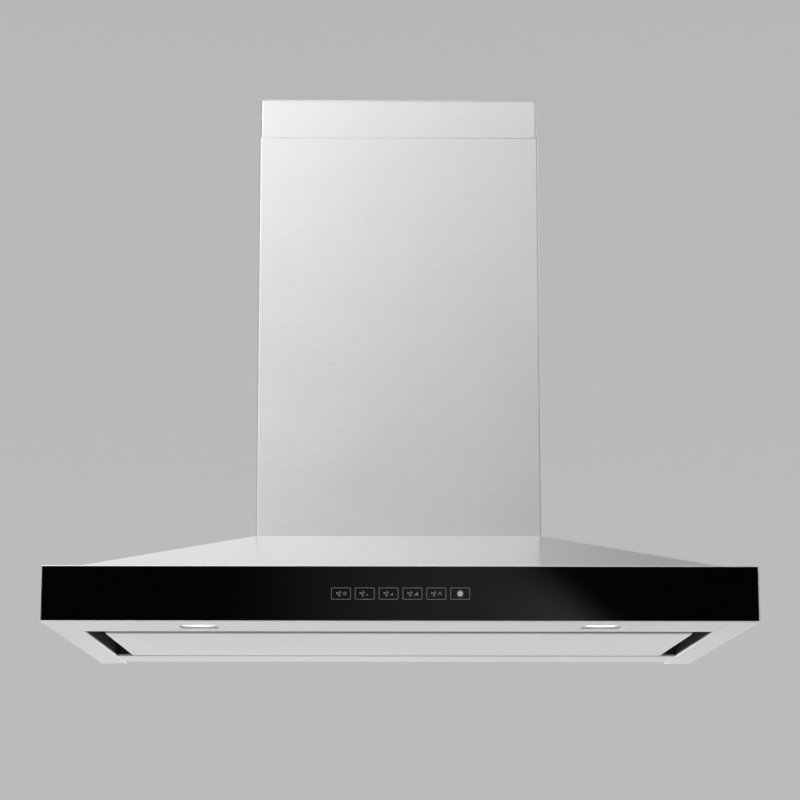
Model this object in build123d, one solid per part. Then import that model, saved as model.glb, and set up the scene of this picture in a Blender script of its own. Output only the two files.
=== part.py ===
from build123d import *

import math
import os

# Ceiling-hung range hood: a pyramid canopy with a glass touch-control front and a
# perimeter-suction panel, under a telescoping two-stage chimney that hides the blower.
#
# Frame: millimetres, +Z up, -Y is the control side, +X is to the right as seen from there.
# The origin is the centre of the ceiling plate's top face.

# ---- Driving dimensions -------------------------------------------------------------------

hood_width = 914.0
hood_depth = 686.0
overall_height = 755.5
canopy_height = 136.4  # rim to the foot of the chimney
band_height = 68.0  # upright band below the pyramid
sheet = 1.2  # canopy steel
cover_sheet = 1.0  # chimney steel
bend = 2.5  # outer bend radius of the folded steel
least_radius = 0.2  # of a corner that is meant to be sharp

# Chimney
chimney_width = 390.0
chimney_depth = 280.0
cover_gap = 0.5  # between the sliding covers, each side
upper_exposed = 54.6  # upper cover showing when collapsed
upper_cover_foot = 78.6  # upper cover's lower edge above the canopy
minimum_overlap = 85.9  # covers still overlap by this much when fully extended
neck_height = 15.0
neck_gap = 0.3
seam_gap = 0.4  # between the front and rear halves of a cover
cover_screw_radius = 2.0
cover_screw_head_radius = 3.6
cover_screw_head_height = 1.2
cover_screw_depth = 25.0  # below the ceiling, and above the canopy: half of this

# Telescoping frame
plate_thickness = 3.0
plate_edge_gap = 1.0
duct_hole_margin = 25.0
ceiling_bolt_radius = 4.5
ceiling_bolt_inset_x = 41.5
ceiling_bolt_inset_y = 46.5
upright_sheet = 2.0
upper_leg = 25.0
lower_leg = 21.0
upright_gap = 0.5
upper_upright_clear = 59.0  # above the canopy's neck plane
lower_upright_clear = 60.0  # below the ceiling
clamp_bolt_radius = 3.0
clamp_bolt_rise = 20.0  # above the upper upright's lower end
clamp_slot_gap = 0.5
clamp_head_radius = 5.5
clamp_head_height = 4.0
moving_gap = 0.4  # between pieces that move past each other
thread_gap = 0.05
ring_width_x = 18.0
ring_width_y = 15.0
ring_flange = 12.0
foot_length = 34.0

# Control front
control_depth = 35.0
control_height = 72.0
glass_edge = 1.5  # steel edge seen around the glass
glass_thickness = 4.0
glass_chamfer = 0.4
glass_gap = 0.2
gasket_thickness = 1.0
gasket_width = 6.0
ledge_width = 12.0
board_thickness = 1.6
key_board_width = 176.0
key_board_height = 34.0
carrier_depth = 14.0
carrier_wall = 2.0
key_count = 6
key_pitch = 30.3
key_chip = 7.0  # sensor pad's side on the board

# Underside
side_rail_width = 39.0
front_rail_depth = 135.0
rear_rail_depth = 104.0
rear_setback = 37.0  # raised strip between the rear rail and the rear face
rear_strip_rise = 4.0
suction_gap = 26.0
lip_height = 3.0
tray_height = 45.0

# Suction panel
panel_drop = 1.0  # below the rails
panel_edge = 12.0
panel_bend = 1.6
hinge_inset = 16.0
hinge_rise = 24.0
hinge_side_inset = 92.0  # in from the panel's side edge
hinge_pin_radius = 3.0
running_gap = 0.05
ear_sheet = 3.0
ear_width = 14.0
backing_inset = 18.0
backing_rise = 4.0
catch_side_inset = 26.0  # in from the panel's side edge
catch_inset = 30.0
magnet_radius = 8.0
magnet_height = 10.0

# Lamps
lamp_width = 58.0
lamp_depth = 60.0
lamp_corner = 14.0
lamp_spread = 261.0  # from the middle
lamp_setback = 73.0  # behind the front face
lamp_rim = 4.0
lamp_fit = 0.3
lamp_can_height = 26.0
lamp_can_wall = 1.2
lens_thickness = 3.0
lens_recess = 2.0  # above the underside
led_radius = 2.4

# Grease filters
filter_side_margin = 79.0
filter_centre_bar = 16.0
filter_end_margin = 52.0
filter_thickness = 9.0
filter_rim = 14.0
filter_lap = 8.0  # frame laps the tray's opening by this much
filter_sheet = 1.0
mesh_thickness = 5.0
latch_width = 44.0
latch_length = 34.0
latch_sheet = 2.0
latch_travel = 5.0
latch_bite = 4.0
keeper_sheet = 1.5
keeper_margin = 4.0  # each side of the latch
keeper_clear = 1.5  # between a keeper's shelf and the filter's end
rear_keeper_hold = 6.0
mesh_gap = 0.3
guide_sheet = 2.0

# Blower
impeller_radius = 80.0
impeller_blades = 32
blade_depth = 15.0
blade_sheet = 1.2
blade_belly = (0.14, 0.55)  # the blade's middle point, in blade depths sideways and outwards
blade_lead = 0.55  # its tip, in blade depths sideways
blade_tip_gap = 0.6
ring_depth_gap = 6.0  # how much narrower the end rings are than the blades
impeller_end_gap = 5.0
inlet_space = 72.0  # between a scroll face and the chimney cover
scroll_step = 10.0  # growth of the spiral at each quarter turn
scroll_start = 15.0  # spiral's first radius beyond the impeller
scroll_clear = 7.0  # scroll's lowest point above the frame ring
scroll_neck = 105.0  # axis to the scroll's outlet
scroll_flange = 7.0
scroll_trim = 20.0  # height cut off above the outlet
inlet_radius = 62.0
inlet_lip = 5.0
shaft_radius = 4.0
shaft_proud = 6.0  # beyond the hub, and short of the motor's rear face
shaft_pocket_floor = 5.0  # left at the motor's rear face
hub_radius = 13.0
hub_length = 34.0
motor_radius = 40.0
motor_length = 56.0
motor_rib_count = 18
motor_rib_depth = 3.0
motor_rib_width = 2.0
motor_rib_inset = 8.0
motor_edge_radius = 4.0
bracket_arm_width = 14.0
bracket_sheet = 2.0
bracket_arms = 3
bracket_rim = 8.0
bracket_hub_inset = 12.0
bracket_root = 4.0  # how far an arm runs into the rim and the hub
rail_height = 25.0
rail_foot = 24.0
rail_sheet = 1.5

# Outlet
duct_radius = 75.0
duct_wall = 1.2
duct_collar_height = 50.0
adapter_height = 40.0
collar_flange = 7.0
collar_flange_thickness = 2.0
flap_rise = 10.0
flap_sheet = 1.0
flap_gap = 1.4
flap_root = 4.2
spindle_radius = 2.0
spindle_end_gap = 0.3
knuckle_radius = 3.2
knuckle_length = 18.0

# Electrics
box_wall = 1.2
control_box_width = 70.0
control_box_length = 300.0
control_box_height = 27.0
control_box_inset = 5.0
circuit_width = 52.0
circuit_length = 210.0
circuit_rise = 6.0
post_radius = 2.5
post_inset = 5.0
relay_count = 4
relay_start = 60.0
relay_pitch = 28.0
relay_inset = 6.0
relay_length = 18.0
relay_width = 16.0
relay_height = 11.0
strip_inset = 4.0
strip_width = 10.0
strip_height = 9.0
strip_end_gap = 30.0
capacitor_radius = 9.0
capacitor_length = 50.0
capacitor_gap = 4.0
junction_width = 70.0
junction_height = 90.0
junction_offset = 80.0
knockout_radius = 11.1
cable_radius = 2.5
motor_cable_radius = 3.5
cable_bend = 15.0
lead_pitch = 20.0  # between the leads where they leave the control box
lead_dip = 0.5
lamp_lead_setback = 18.0  # in front of the suction opening's front edge
key_lead_setback = 45.0
motor_lead_clear = 52.0  # from the motor's side to its lead
cable_rise = 12.0  # above the tray's top

# ---- Levels and places worked out from them -----------------------------------------------

rim_z = -overall_height
band_z = rim_z + band_height
neck_z = rim_z + canopy_height
tray_z = rim_z + tray_height
side_x = hood_width / 2
rail_bend = 0.8 * sheet  # outer bend of the folded rails
front_y = -hood_depth / 2
rear_y = hood_depth / 2
housing_y = front_y + control_depth
opening_x = side_x - side_rail_width
opening_front_y = front_y + front_rail_depth
opening_rear_y = rear_y - rear_setback - rear_rail_depth
panel_x = opening_x - suction_gap
hinge_spread = panel_x - hinge_side_inset
catch_spread = panel_x - catch_side_inset
panel_front_y = opening_front_y + suction_gap
panel_rear_y = opening_rear_y - suction_gap

upper_width = chimney_width - 2 * (cover_sheet + cover_gap)
upper_depth = chimney_depth - 2 * (cover_sheet + cover_gap)
upper_inner_x = upper_width / 2 - cover_sheet
upper_inner_y = upper_depth / 2 - cover_sheet
upper_foot_z = neck_z + upper_cover_foot
lower_top_z = -upper_exposed
height_travel = lower_top_z - upper_foot_z - minimum_overlap

neck_x = chimney_width / 2 - cover_sheet - neck_gap
neck_y = chimney_depth / 2 - cover_sheet - neck_gap
ring_z = neck_z + plate_thickness
lower_corner_x = upper_inner_x - upright_sheet - upright_gap
lower_corner_y = upper_inner_y - upright_sheet - upright_gap
upper_upright_foot_z = neck_z + upper_upright_clear
clamp_z = upper_upright_foot_z + clamp_bolt_rise
clamp_y = lower_corner_y - lower_leg / 2 - 1.0

scroll_width = 2 * (upper_inner_y - inlet_space)
scroll_y = scroll_width / 2
impeller_y = scroll_y - impeller_end_gap
spiral_radius = impeller_radius + scroll_start
outlet_low = -scroll_step / 2
outlet_high = scroll_step / 2 + spiral_radius + 2 * scroll_step
outlet_width = outlet_high - outlet_low
blower_x = -(outlet_low + outlet_high) / 2
blower_z = ring_z + scroll_clear + scroll_step / 2 + spiral_radius + scroll_step
outlet_z = blower_z + scroll_neck
collar_z = outlet_z + adapter_height + collar_flange_thickness
flap_z = collar_z + flap_rise

lamp_y = front_y + lamp_setback
hinge_y = panel_rear_y - hinge_inset
hinge_z = rim_z + hinge_rise

tray_x = opening_x + 2 * sheet
tray_front_y = opening_front_y - 2 * sheet
tray_rear_y = opening_rear_y + 2 * sheet
filter_inner_x = filter_centre_bar / 2
filter_outer_x = tray_x - filter_side_margin
filter_front_y = tray_front_y + filter_end_margin
filter_rear_y = tray_rear_y - filter_end_margin
filter_x = (filter_inner_x + filter_outer_x) / 2
filter_top_z = tray_z
filter_low_z = tray_z - filter_thickness


# ---- Helpers ------------------------------------------------------------------------------


def block(x, y, z):
    """Box between the low and high value of each pair."""
    spans = (x, y, z)
    size = [high - low for low, high in spans]
    middle = [(low + high) / 2 for low, high in spans]
    return Pos(*middle) * Box(*size)


def rod(axis, radius, span, across):
    """Cylinder along an axis; across is its centre on the two other axes, in X, Y, Z order."""
    length = span[1] - span[0]
    middle = (span[0] + span[1]) / 2
    if axis == "x":
        return Pos(middle, *across) * Rot(0, 90, 0) * Cylinder(radius, length)
    if axis == "y":
        return Pos(across[0], middle, across[1]) * Rot(90, 0, 0) * Cylinder(radius, length)
    return Pos(*across, middle) * Cylinder(radius, length)


def prism(half_x, half_y, radius, z, centre=(0.0, 0.0)):
    """Upright prism with rounded vertical edges."""
    outline = Pos(*centre, z[0]) * RectangleRounded(2 * half_x, 2 * half_y, radius)
    return extrude(outline, z[1] - z[0])


def ring_prism(half_x, half_y, radius, wall, z, centre=(0.0, 0.0)):
    """Upright rectangular tube."""
    inner_radius = max(radius - wall, least_radius)
    outer = prism(half_x, half_y, radius, z, centre)
    return outer - prism(half_x - wall, half_y - wall, inner_radius, z, centre)


def frustum(low, high, z):
    """Solid between two rectangles, each given as its X and Y spans."""
    faces = []
    for (x, y), level in zip((low, high), z):
        centre = Pos((x[0] + x[1]) / 2, (y[0] + y[1]) / 2, level)
        faces.append(centre * Rectangle(x[1] - x[0], y[1] - y[0]))
    return loft(faces)


def upright_slot(radius, x, y, z):
    """Slot that runs along Z through a sheet lying across X; z spans its end centres."""
    slot = block(x, (y - radius, y + radius), z)
    return slot + rod("x", radius, x, (y, z[0])) + rod("x", radius, x, (y, z[1]))


def four_corners(shape):
    """The shape and its mirror images in the other three quarters of the plan."""
    pair = [shape, mirror(shape, about=Plane.YZ)]
    return pair + [mirror(piece, about=Plane.XZ) for piece in pair]


def left_and_right(shape):
    """The shape and its mirror image across the middle plane."""
    return [shape, mirror(shape, about=Plane.YZ)]


def save(name, *pieces):
    """One STEP file for the node, with each separate solid in it."""
    solids = [solid for piece in pieces for solid in piece.solids()]
    shape = solids[0] if len(solids) == 1 else Compound(solids)
    export_step(shape, f"parts/{name}.step")


# ---- Ceiling frame and upper chimney --------------------------------------------------------


def make_ceiling_plate():
    half_x = upper_inner_x - plate_edge_gap
    half_y = upper_inner_y - plate_edge_gap
    z = (-plate_thickness, 0.0)
    plate = prism(half_x, half_y, bend, z)
    duct_half = duct_radius + duct_hole_margin
    plate -= prism(duct_half, duct_half, 4 * bend, z)
    for sign_x in (-1, 1):
        for sign_y in (-1, 1):
            bolt_x = sign_x * (upper_inner_x - ceiling_bolt_inset_x)
            bolt_y = sign_y * (upper_inner_y - ceiling_bolt_inset_y)
            plate -= rod("z", ceiling_bolt_radius, z, (bolt_x, bolt_y))
    return plate


def corner_angle(corner_x, corner_y, leg, z):
    """Folded angle in the rear right corner, with its outer faces at the corner given."""
    angle = block((corner_x - leg, corner_x), (corner_y - leg, corner_y), z)
    inside_x = (corner_x - leg, corner_x - upright_sheet)
    inside_y = (corner_y - leg, corner_y - upright_sheet)
    angle -= block(inside_x, inside_y, z)
    fold = angle.edges().filter_by(Axis.Z).sort_by(lambda edge: edge.center().X + edge.center().Y)
    return fillet(fold[-1], bend)


def make_upper_upright():
    z = (upper_upright_foot_z, -plate_thickness)
    upright = corner_angle(upper_inner_x, upper_inner_y, upper_leg, z)
    span = (upper_inner_x - upright_sheet, upper_inner_x)
    upright -= rod("x", clamp_bolt_radius + thread_gap, span, (clamp_y, clamp_z))
    return upright - cover_screw_hole(upper_inner_x - upright_sheet, upper_inner_x)


def cover_screw_hole(inner_x, outer_x):
    """Clearance hole for an upper cover screw in the rear right corner."""
    across = (upper_inner_y - upper_leg / 2, -cover_screw_depth)
    return rod("x", cover_screw_radius + thread_gap, (inner_x, outer_x), across)


def make_upper_cover_screw():
    """Pan-head screw through the upper cover into an upright."""
    across = (upper_inner_y - upper_leg / 2, -cover_screw_depth)
    outer_x = upper_width / 2
    shank = rod("x", cover_screw_radius, (upper_inner_x - upright_sheet, outer_x), across)
    head_span = (outer_x, outer_x + cover_screw_head_height)
    return shank + rod("x", cover_screw_head_radius, head_span, across)


def make_clamp_bolt():
    """Bolt from inside, through the lower upright's slot, threaded into the upper upright."""
    across = (clamp_y, clamp_z)
    seat_x = lower_corner_x - upright_sheet - moving_gap
    shank = rod("x", clamp_bolt_radius, (seat_x, upper_inner_x), across)
    return shank + rod("x", clamp_head_radius, (seat_x - clamp_head_height, seat_x), across)


def cover_halves(half_x, half_y, z):
    """Front and rear halves of a chimney cover, with a seam down the middle of each side."""
    tube = ring_prism(half_x, half_y, bend, cover_sheet, z)
    wide = (-2 * half_x, 2 * half_x)
    front = tube - block(wide, (-seam_gap / 2, 2 * half_y), z)
    rear = tube - block(wide, (-2 * half_y, seam_gap / 2), z)
    return front, rear


def make_upper_covers():
    z = (upper_foot_z, 0.0)
    halves = cover_halves(upper_width / 2, upper_depth / 2, z)
    holes = four_corners(cover_screw_hole(upper_inner_x, upper_width / 2))
    return [half - holes for half in halves]


# ---- Lower chimney and its frame --------------------------------------------------------------


def make_lower_upright():
    z = (ring_z, -lower_upright_clear)
    upright = corner_angle(lower_corner_x, lower_corner_y, lower_leg, z)
    across_x = (lower_corner_x - upright_sheet, lower_corner_x)
    slot_z = (clamp_z - 1.0, clamp_z + height_travel + 1.0)
    slot_radius = clamp_bolt_radius + clamp_slot_gap
    upright -= upright_slot(slot_radius, across_x, clamp_y, slot_z)
    foot_x = (lower_corner_x - foot_length, lower_corner_x - upright_sheet)
    foot_y = (lower_corner_y - lower_leg, lower_corner_y - upright_sheet)
    return upright + block(foot_x, foot_y, (ring_z, ring_z + upright_sheet))


def make_frame_ring():
    """Ring at the canopy's neck that carries the uprights and the blower."""
    half_x = neck_x - cover_sheet
    half_y = neck_y - cover_sheet
    z = (neck_z, ring_z)
    ring = prism(half_x, half_y, bend - cover_sheet, z)
    ring -= prism(half_x - ring_width_x, half_y - ring_width_y, 2 * bend, z)
    flange_x = (-half_x + 2 * ring_width_x, half_x - 2 * ring_width_x)
    flange = block(flange_x, (half_y - sheet, half_y), (neck_z, ring_z + ring_flange))
    return ring + flange + mirror(flange, about=Plane.XZ)


def lower_screw_place(inner_x, radius):
    """Cylinder for a lower cover screw on the right side, rearward of the seam."""
    across = (chimney_depth / 4, neck_z + neck_height / 2)
    return rod("x", radius, (inner_x, chimney_width / 2), across)


def make_lower_covers():
    z = (neck_z, lower_top_z)
    halves = cover_halves(chimney_width / 2, chimney_depth / 2, z)
    inner_x = chimney_width / 2 - cover_sheet
    holes = four_corners(lower_screw_place(inner_x, cover_screw_radius + thread_gap))
    return [half - holes for half in halves]


def make_lower_cover_screw():
    shank = lower_screw_place(neck_x - cover_sheet, cover_screw_radius)
    head_x = (chimney_width / 2, chimney_width / 2 + cover_screw_head_height)
    across = (chimney_depth / 4, neck_z + neck_height / 2)
    return shank + rod("x", cover_screw_head_radius, head_x, across)


# ---- Canopy shell -----------------------------------------------------------------------------


def plan_corners(x, y):
    """Corners of a rectangle given by its spans, in order round it."""
    return [(x[0], y[0]), (x[1], y[0]), (x[1], y[1]), (x[0], y[1])]


def make_canopy_slopes():
    """Four sloping panels of the pyramid, which meet along its hips."""
    half_x = chimney_width / 2
    half_y = chimney_depth / 2
    base = ((-side_x, side_x), (housing_y, rear_y))
    top = ((-half_x, half_x), (-half_y, half_y))
    pyramid = frustum(base, top, (band_z, neck_z))
    skin = pyramid - Pos(0, 0, -sheet) * pyramid
    low = plan_corners(*base)
    high = plan_corners(*top)
    slopes = []
    for index in range(4):
        after = (index + 1) % 4
        plan = make_face(Polyline(low[index], low[after], high[after], high[index], close=True))
        slopes.append(skin & extrude(Pos(0, 0, band_z) * plan, neck_z - band_z))
    return slopes


def make_canopy_neck():
    """Upright neck inside the lower chimney cover, on a flange that closes the pyramid's top."""
    span = (neck_z - sheet, neck_z + neck_height)
    neck = ring_prism(neck_x, neck_y, bend, cover_sheet, span)
    half_x = chimney_width / 2
    half_y = chimney_depth / 2
    flange_z = (neck_z - sheet, neck_z)
    flange = block((-half_x, half_x), (-half_y, half_y), flange_z)
    flange -= prism(neck_x - cover_sheet, neck_y - cover_sheet, bend - cover_sheet, flange_z)
    hole = lower_screw_place(neck_x - 2 * cover_sheet, cover_screw_radius + thread_gap)
    return neck + flange - four_corners(hole)


def make_right_side_panel():
    """Side band with the underside rail folded from the same sheet."""
    y = (housing_y, rear_y)
    wall = block((side_x - sheet, side_x), y, (rim_z, band_z))
    rail = block((opening_x, side_x), y, (rim_z, rim_z + sheet))
    lip_x = (opening_x, opening_x + sheet)
    lip = block(lip_x, (opening_front_y, opening_rear_y), (rim_z, rim_z + lip_height))
    panel = wall + rail + lip
    folds = panel.edges().filter_by(Axis.Y).group_by(Axis.Z)[0].sort_by(Axis.X)
    return fillet([folds[0], folds[-1]], rail_bend)


def make_rear_panel():
    """Rear band between the side panels, with a raised strip along its foot."""
    half_x = side_x - sheet
    low_z = rim_z + rear_strip_rise
    wall = block((-half_x, half_x), (rear_y - sheet, rear_y), (low_z, band_z))
    strip = block((-opening_x, opening_x), (rear_y - rear_setback, rear_y), (low_z, low_z + sheet))
    return wall + strip


def make_rear_rail():
    """Underside rail behind the suction opening, turned up along both edges."""
    y = (opening_rear_y, rear_y - rear_setback)
    x = (-opening_x, opening_x)
    rail = block(x, y, (rim_z, rim_z + sheet))
    lip = block(x, (y[0], y[0] + sheet), (rim_z, rim_z + lip_height))
    hem = block(x, (y[1] - sheet, y[1]), (rim_z, rim_z + rear_strip_rise))
    rail = rail + lip + hem
    folds = rail.edges().filter_by(Axis.X).group_by(Axis.Z)[0].sort_by(Axis.Y)
    return fillet([folds[0], folds[-1]], rail_bend)


def lamp_place(half_x, half_y, radius, z):
    """Upright rounded prism at the right lamp."""
    return prism(half_x, half_y, radius, z, (lamp_spread, lamp_y))


def make_front_housing():
    """Control housing and front rail: a folded tray that holds the glass and the lamps."""
    top_z = rim_z + control_height
    box = block((-side_x, side_x), (front_y, housing_y), (rim_z, top_z))
    inner_z = (rim_z + glass_edge, top_z - glass_edge)
    inner_x = (-side_x + glass_edge, side_x - glass_edge)
    box -= block(inner_x, (front_y, housing_y - sheet), inner_z)
    ledge_y = front_y + glass_gap + glass_thickness + gasket_thickness
    ledge = block(inner_x, (ledge_y, ledge_y + sheet), inner_z)
    window_x = (inner_x[0] + ledge_width, inner_x[1] - ledge_width)
    window_z = (inner_z[0] + ledge_width, inner_z[1] - ledge_width)
    ledge -= block(window_x, (ledge_y, ledge_y + sheet), window_z)
    rail = block((-opening_x, opening_x), (front_y, opening_front_y), (rim_z, rim_z + sheet))
    lip_y = (opening_front_y - sheet, opening_front_y)
    lip = block((-opening_x, opening_x), lip_y, (rim_z, rim_z + lip_height))
    housing = box + ledge + rail + lip
    cut_x = lamp_width / 2 + lamp_fit
    cut_y = lamp_depth / 2 + lamp_fit
    cut = lamp_place(cut_x, cut_y, lamp_corner + lamp_fit, (rim_z, rim_z + sheet))
    housing -= left_and_right(cut)
    hole_span = (housing_y - sheet, housing_y)
    return housing - rod("y", 2 * cable_radius, hole_span, (0, key_lead_z()))


def key_lead_z():
    """Height at which the key board's lead passes through the control housing."""
    return tray_z + sheet + 1.5 * cable_radius


# ---- Control front ----------------------------------------------------------------------------


def glass_spans():
    """X and Z spans of the glass inside its steel edge."""
    reach = side_x - glass_edge - glass_gap
    low_z = rim_z + glass_edge + glass_gap
    high_z = rim_z + control_height - glass_edge - glass_gap
    return (-reach, reach), (low_z, high_z)


def make_glass_panel():
    x, z = glass_spans()
    glass = block(x, (front_y + glass_gap, front_y + glass_gap + glass_thickness), z)
    front_edges = glass.faces().sort_by(Axis.Y)[0].edges()
    return chamfer(front_edges, glass_chamfer)


def make_glass_gasket():
    x, z = glass_spans()
    low_y = front_y + glass_gap + glass_thickness
    y = (low_y, low_y + gasket_thickness)
    gasket = block(x, y, z)
    inner_x = (x[0] + gasket_width, x[1] - gasket_width)
    inner_z = (z[0] + gasket_width, z[1] - gasket_width)
    return gasket - block(inner_x, y, inner_z)


def key_row_z():
    """Middle height of the touch keys."""
    return rim_z + control_height / 2


def make_key_board():
    """Touch-sensor board bonded to the back of the glass, with one pad for each key."""
    low_y = front_y + glass_gap + glass_thickness
    y = (low_y, low_y + board_thickness)
    half_z = key_board_height / 2
    half_x = key_board_width / 2
    board = block((-half_x, half_x), y, (key_row_z() - half_z, key_row_z() + half_z))
    for index in range(key_count):
        x = (index - (key_count - 1) / 2) * key_pitch
        chip_x = (x - key_chip / 2, x + key_chip / 2)
        chip_z = (key_row_z() - key_chip / 2, key_row_z() + key_chip / 2)
        board += block(chip_x, (low_y + board_thickness / 2, y[1] + board_thickness), chip_z)
    return board


def make_key_board_carrier():
    """Moulded tray behind the key board."""
    low_y = front_y + glass_gap + glass_thickness + board_thickness
    y = (low_y, low_y + carrier_depth)
    half_x = key_board_width / 2
    half_z = key_board_height / 2
    z = (key_row_z() - half_z, key_row_z() + half_z)
    carrier = block((-half_x, half_x), y, z)
    inner_z = (z[0] + carrier_wall, z[1] - carrier_wall)
    inner_x = (-half_x + carrier_wall, half_x - carrier_wall)
    return carrier - block(inner_x, (y[0], y[1] - carrier_wall), inner_z)


# ---- Lamps --------------------------------------------------------------------------------------


def make_lamp_housing():
    """Right lamp's flush bezel with the can above it."""
    half_x = lamp_width / 2
    half_y = lamp_depth / 2
    low_z = rim_z
    bezel_z = (low_z, low_z + sheet + 1.0)
    bezel = lamp_place(half_x, half_y, lamp_corner, bezel_z)
    can_x = half_x - lamp_rim + lamp_can_wall
    can_y = half_y - lamp_rim + lamp_can_wall
    can_corner = lamp_corner - lamp_rim + lamp_can_wall
    housing = bezel + lamp_place(can_x, can_y, can_corner, (low_z, low_z + lamp_can_height))
    inner_corner = lamp_corner - lamp_rim
    inner_z = (low_z, low_z + lamp_can_height - lamp_can_wall)
    return housing - lamp_place(half_x - lamp_rim, half_y - lamp_rim, inner_corner, inner_z)


def make_lamp_lens():
    half_x = lamp_width / 2 - lamp_rim
    half_y = lamp_depth / 2 - lamp_rim
    z = (rim_z + lens_recess, rim_z + lens_recess + lens_thickness)
    return lamp_place(half_x, half_y, lamp_corner - lamp_rim, z)


def make_led_board():
    half = lamp_width / 2 - 2 * lamp_rim
    top_z = rim_z + lamp_can_height - lamp_can_wall
    board = lamp_place(half, half, lamp_rim, (top_z - board_thickness, top_z))
    for x in (-1, 0, 1):
        for y in (-1, 0, 1):
            place = (lamp_spread + x * half / 2, lamp_y + y * half / 2)
            board += rod("z", led_radius, (top_z - board_thickness - 1.0, top_z - 0.5), place)
    return board


# ---- Filter tray and grease filters ---------------------------------------------------------------


def make_filter_tray():
    """Plenum tray above the suction panel, with a window above each filter."""
    centre = (0.0, (tray_front_y + tray_rear_y) / 2)
    half_y = (tray_rear_y - tray_front_y) / 2
    z = (rim_z + sheet, tray_z + sheet)
    tray = prism(tray_x, half_y, sheet, z, centre)
    hollow_z = (rim_z + sheet, tray_z)
    tray -= prism(tray_x - sheet, half_y - sheet, least_radius, hollow_z, centre)
    return tray - left_and_right(filter_window())


def filter_window():
    """Hole in the tray's top above the right filter."""
    x = (filter_inner_x + filter_lap, filter_outer_x - filter_lap)
    y = (filter_front_y + filter_lap, filter_rear_y - filter_lap)
    return block(x, y, (tray_z, tray_z + sheet))


def keeper_levels():
    """Top of a keeper's shelf, just under the latch tongue or the filter's rear tab."""
    return filter_low_z - latch_sheet - 2 * moving_gap


def make_front_keeper():
    """Hanging bracket whose shelf the right latch's tongue rests on."""
    half = latch_width / 2 + keeper_margin
    x = (filter_x - half, filter_x + half)
    shelf_z = keeper_levels()
    wall_y = filter_front_y - latch_bite - latch_travel
    wall = block(x, (wall_y - keeper_sheet, wall_y), (shelf_z - keeper_sheet, tray_z))
    shelf_y = (wall_y - keeper_sheet, filter_front_y - keeper_clear)
    return wall + block(x, shelf_y, (shelf_z - keeper_sheet, shelf_z))


def make_rear_keeper():
    """Hanging hook under the rear edge of the right filter."""
    half = latch_width
    x = (filter_x - half, filter_x + half)
    wall_y = filter_rear_y + 1.0
    low_z = filter_low_z - keeper_sheet
    wall = block(x, (wall_y, wall_y + keeper_sheet), (low_z, tray_z))
    return wall + block(x, (filter_rear_y - rear_keeper_hold, wall_y + keeper_sheet), (low_z, filter_low_z))


def make_filter_frame():
    """Right filter's channel frame with two guide clips for its latch."""
    x = (filter_inner_x, filter_outer_x)
    y = (filter_front_y, filter_rear_y)
    frame = block(x, y, (filter_low_z, filter_top_z))
    mesh_x = (x[0] + filter_rim, x[1] - filter_rim)
    mesh_y = (y[0] + filter_rim, y[1] - filter_rim)
    frame -= block(mesh_x, mesh_y, (filter_low_z, filter_top_z))
    pocket_z = (filter_low_z + filter_sheet, filter_top_z - filter_sheet)
    pocket_x = (x[0] + filter_sheet, x[1] - filter_sheet)
    pocket_y = (y[0] + filter_sheet, y[1] - filter_sheet)
    frame -= block(pocket_x, pocket_y, pocket_z)
    return frame + latch_guides()


def latch_guides():
    """L-shaped clips at both sides of the latch, under the filter's front rim."""
    y = (filter_front_y + guide_sheet, filter_front_y + filter_rim - filter_sheet)
    guides = []
    for sign in (-1, 1):
        edge = filter_x + sign * (latch_width / 2 + moving_gap)
        outer = edge + sign * guide_sheet
        inner = edge - sign * guide_sheet
        drop = latch_sheet + 2 * moving_gap
        wall_x = (min(edge, outer), max(edge, outer))
        hook_x = (min(inner, outer), max(inner, outer))
        wall = block(wall_x, y, (filter_low_z - drop - filter_sheet, filter_low_z + 0.5))
        hook = block(hook_x, y, (filter_low_z - drop - filter_sheet, filter_low_z - drop))
        guides.append(wall + hook)
    return guides


def make_filter_mesh():
    """Right filter's woven pack, held in the channel of its frame."""
    pad = filter_sheet + mesh_gap
    x = (filter_inner_x + pad, filter_outer_x - pad)
    y = (filter_front_y + pad, filter_rear_y - pad)
    middle = (filter_low_z + filter_top_z) / 2
    return block(x, y, (middle - mesh_thickness / 2, middle + mesh_thickness / 2))


def make_filter_latch():
    """Spring-loaded latch plate with a turned-down finger pull."""
    x = (filter_x - latch_width / 2, filter_x + latch_width / 2)
    y = (filter_front_y - latch_bite, filter_front_y - latch_bite + latch_length)
    top_z = filter_low_z - moving_gap
    plate = block(x, y, (top_z - latch_sheet, top_z))
    pull_y = (y[1] - latch_sheet, y[1])
    return plate + block(x, pull_y, (top_z - 4 * latch_sheet, top_z))


# ---- Suction panel --------------------------------------------------------------------------------


def make_suction_panel():
    """Folded panel that closes the opening except for a gap all round."""
    centre = (0.0, (panel_front_y + panel_rear_y) / 2)
    half_y = (panel_rear_y - panel_front_y) / 2
    low_z = rim_z - panel_drop
    panel = prism(panel_x, half_y, panel_bend, (low_z, low_z + panel_edge), centre)
    rim = panel.faces().sort_by(Axis.Z)[0].edges()
    panel = fillet(rim, panel_bend)
    hollow_z = (low_z + sheet, low_z + panel_edge)
    hollow = prism(panel_x - sheet, half_y - sheet, panel_bend - sheet, hollow_z, centre)
    return panel - fillet(hollow.faces().sort_by(Axis.Z)[0].edges(), panel_bend - sheet)


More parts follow.
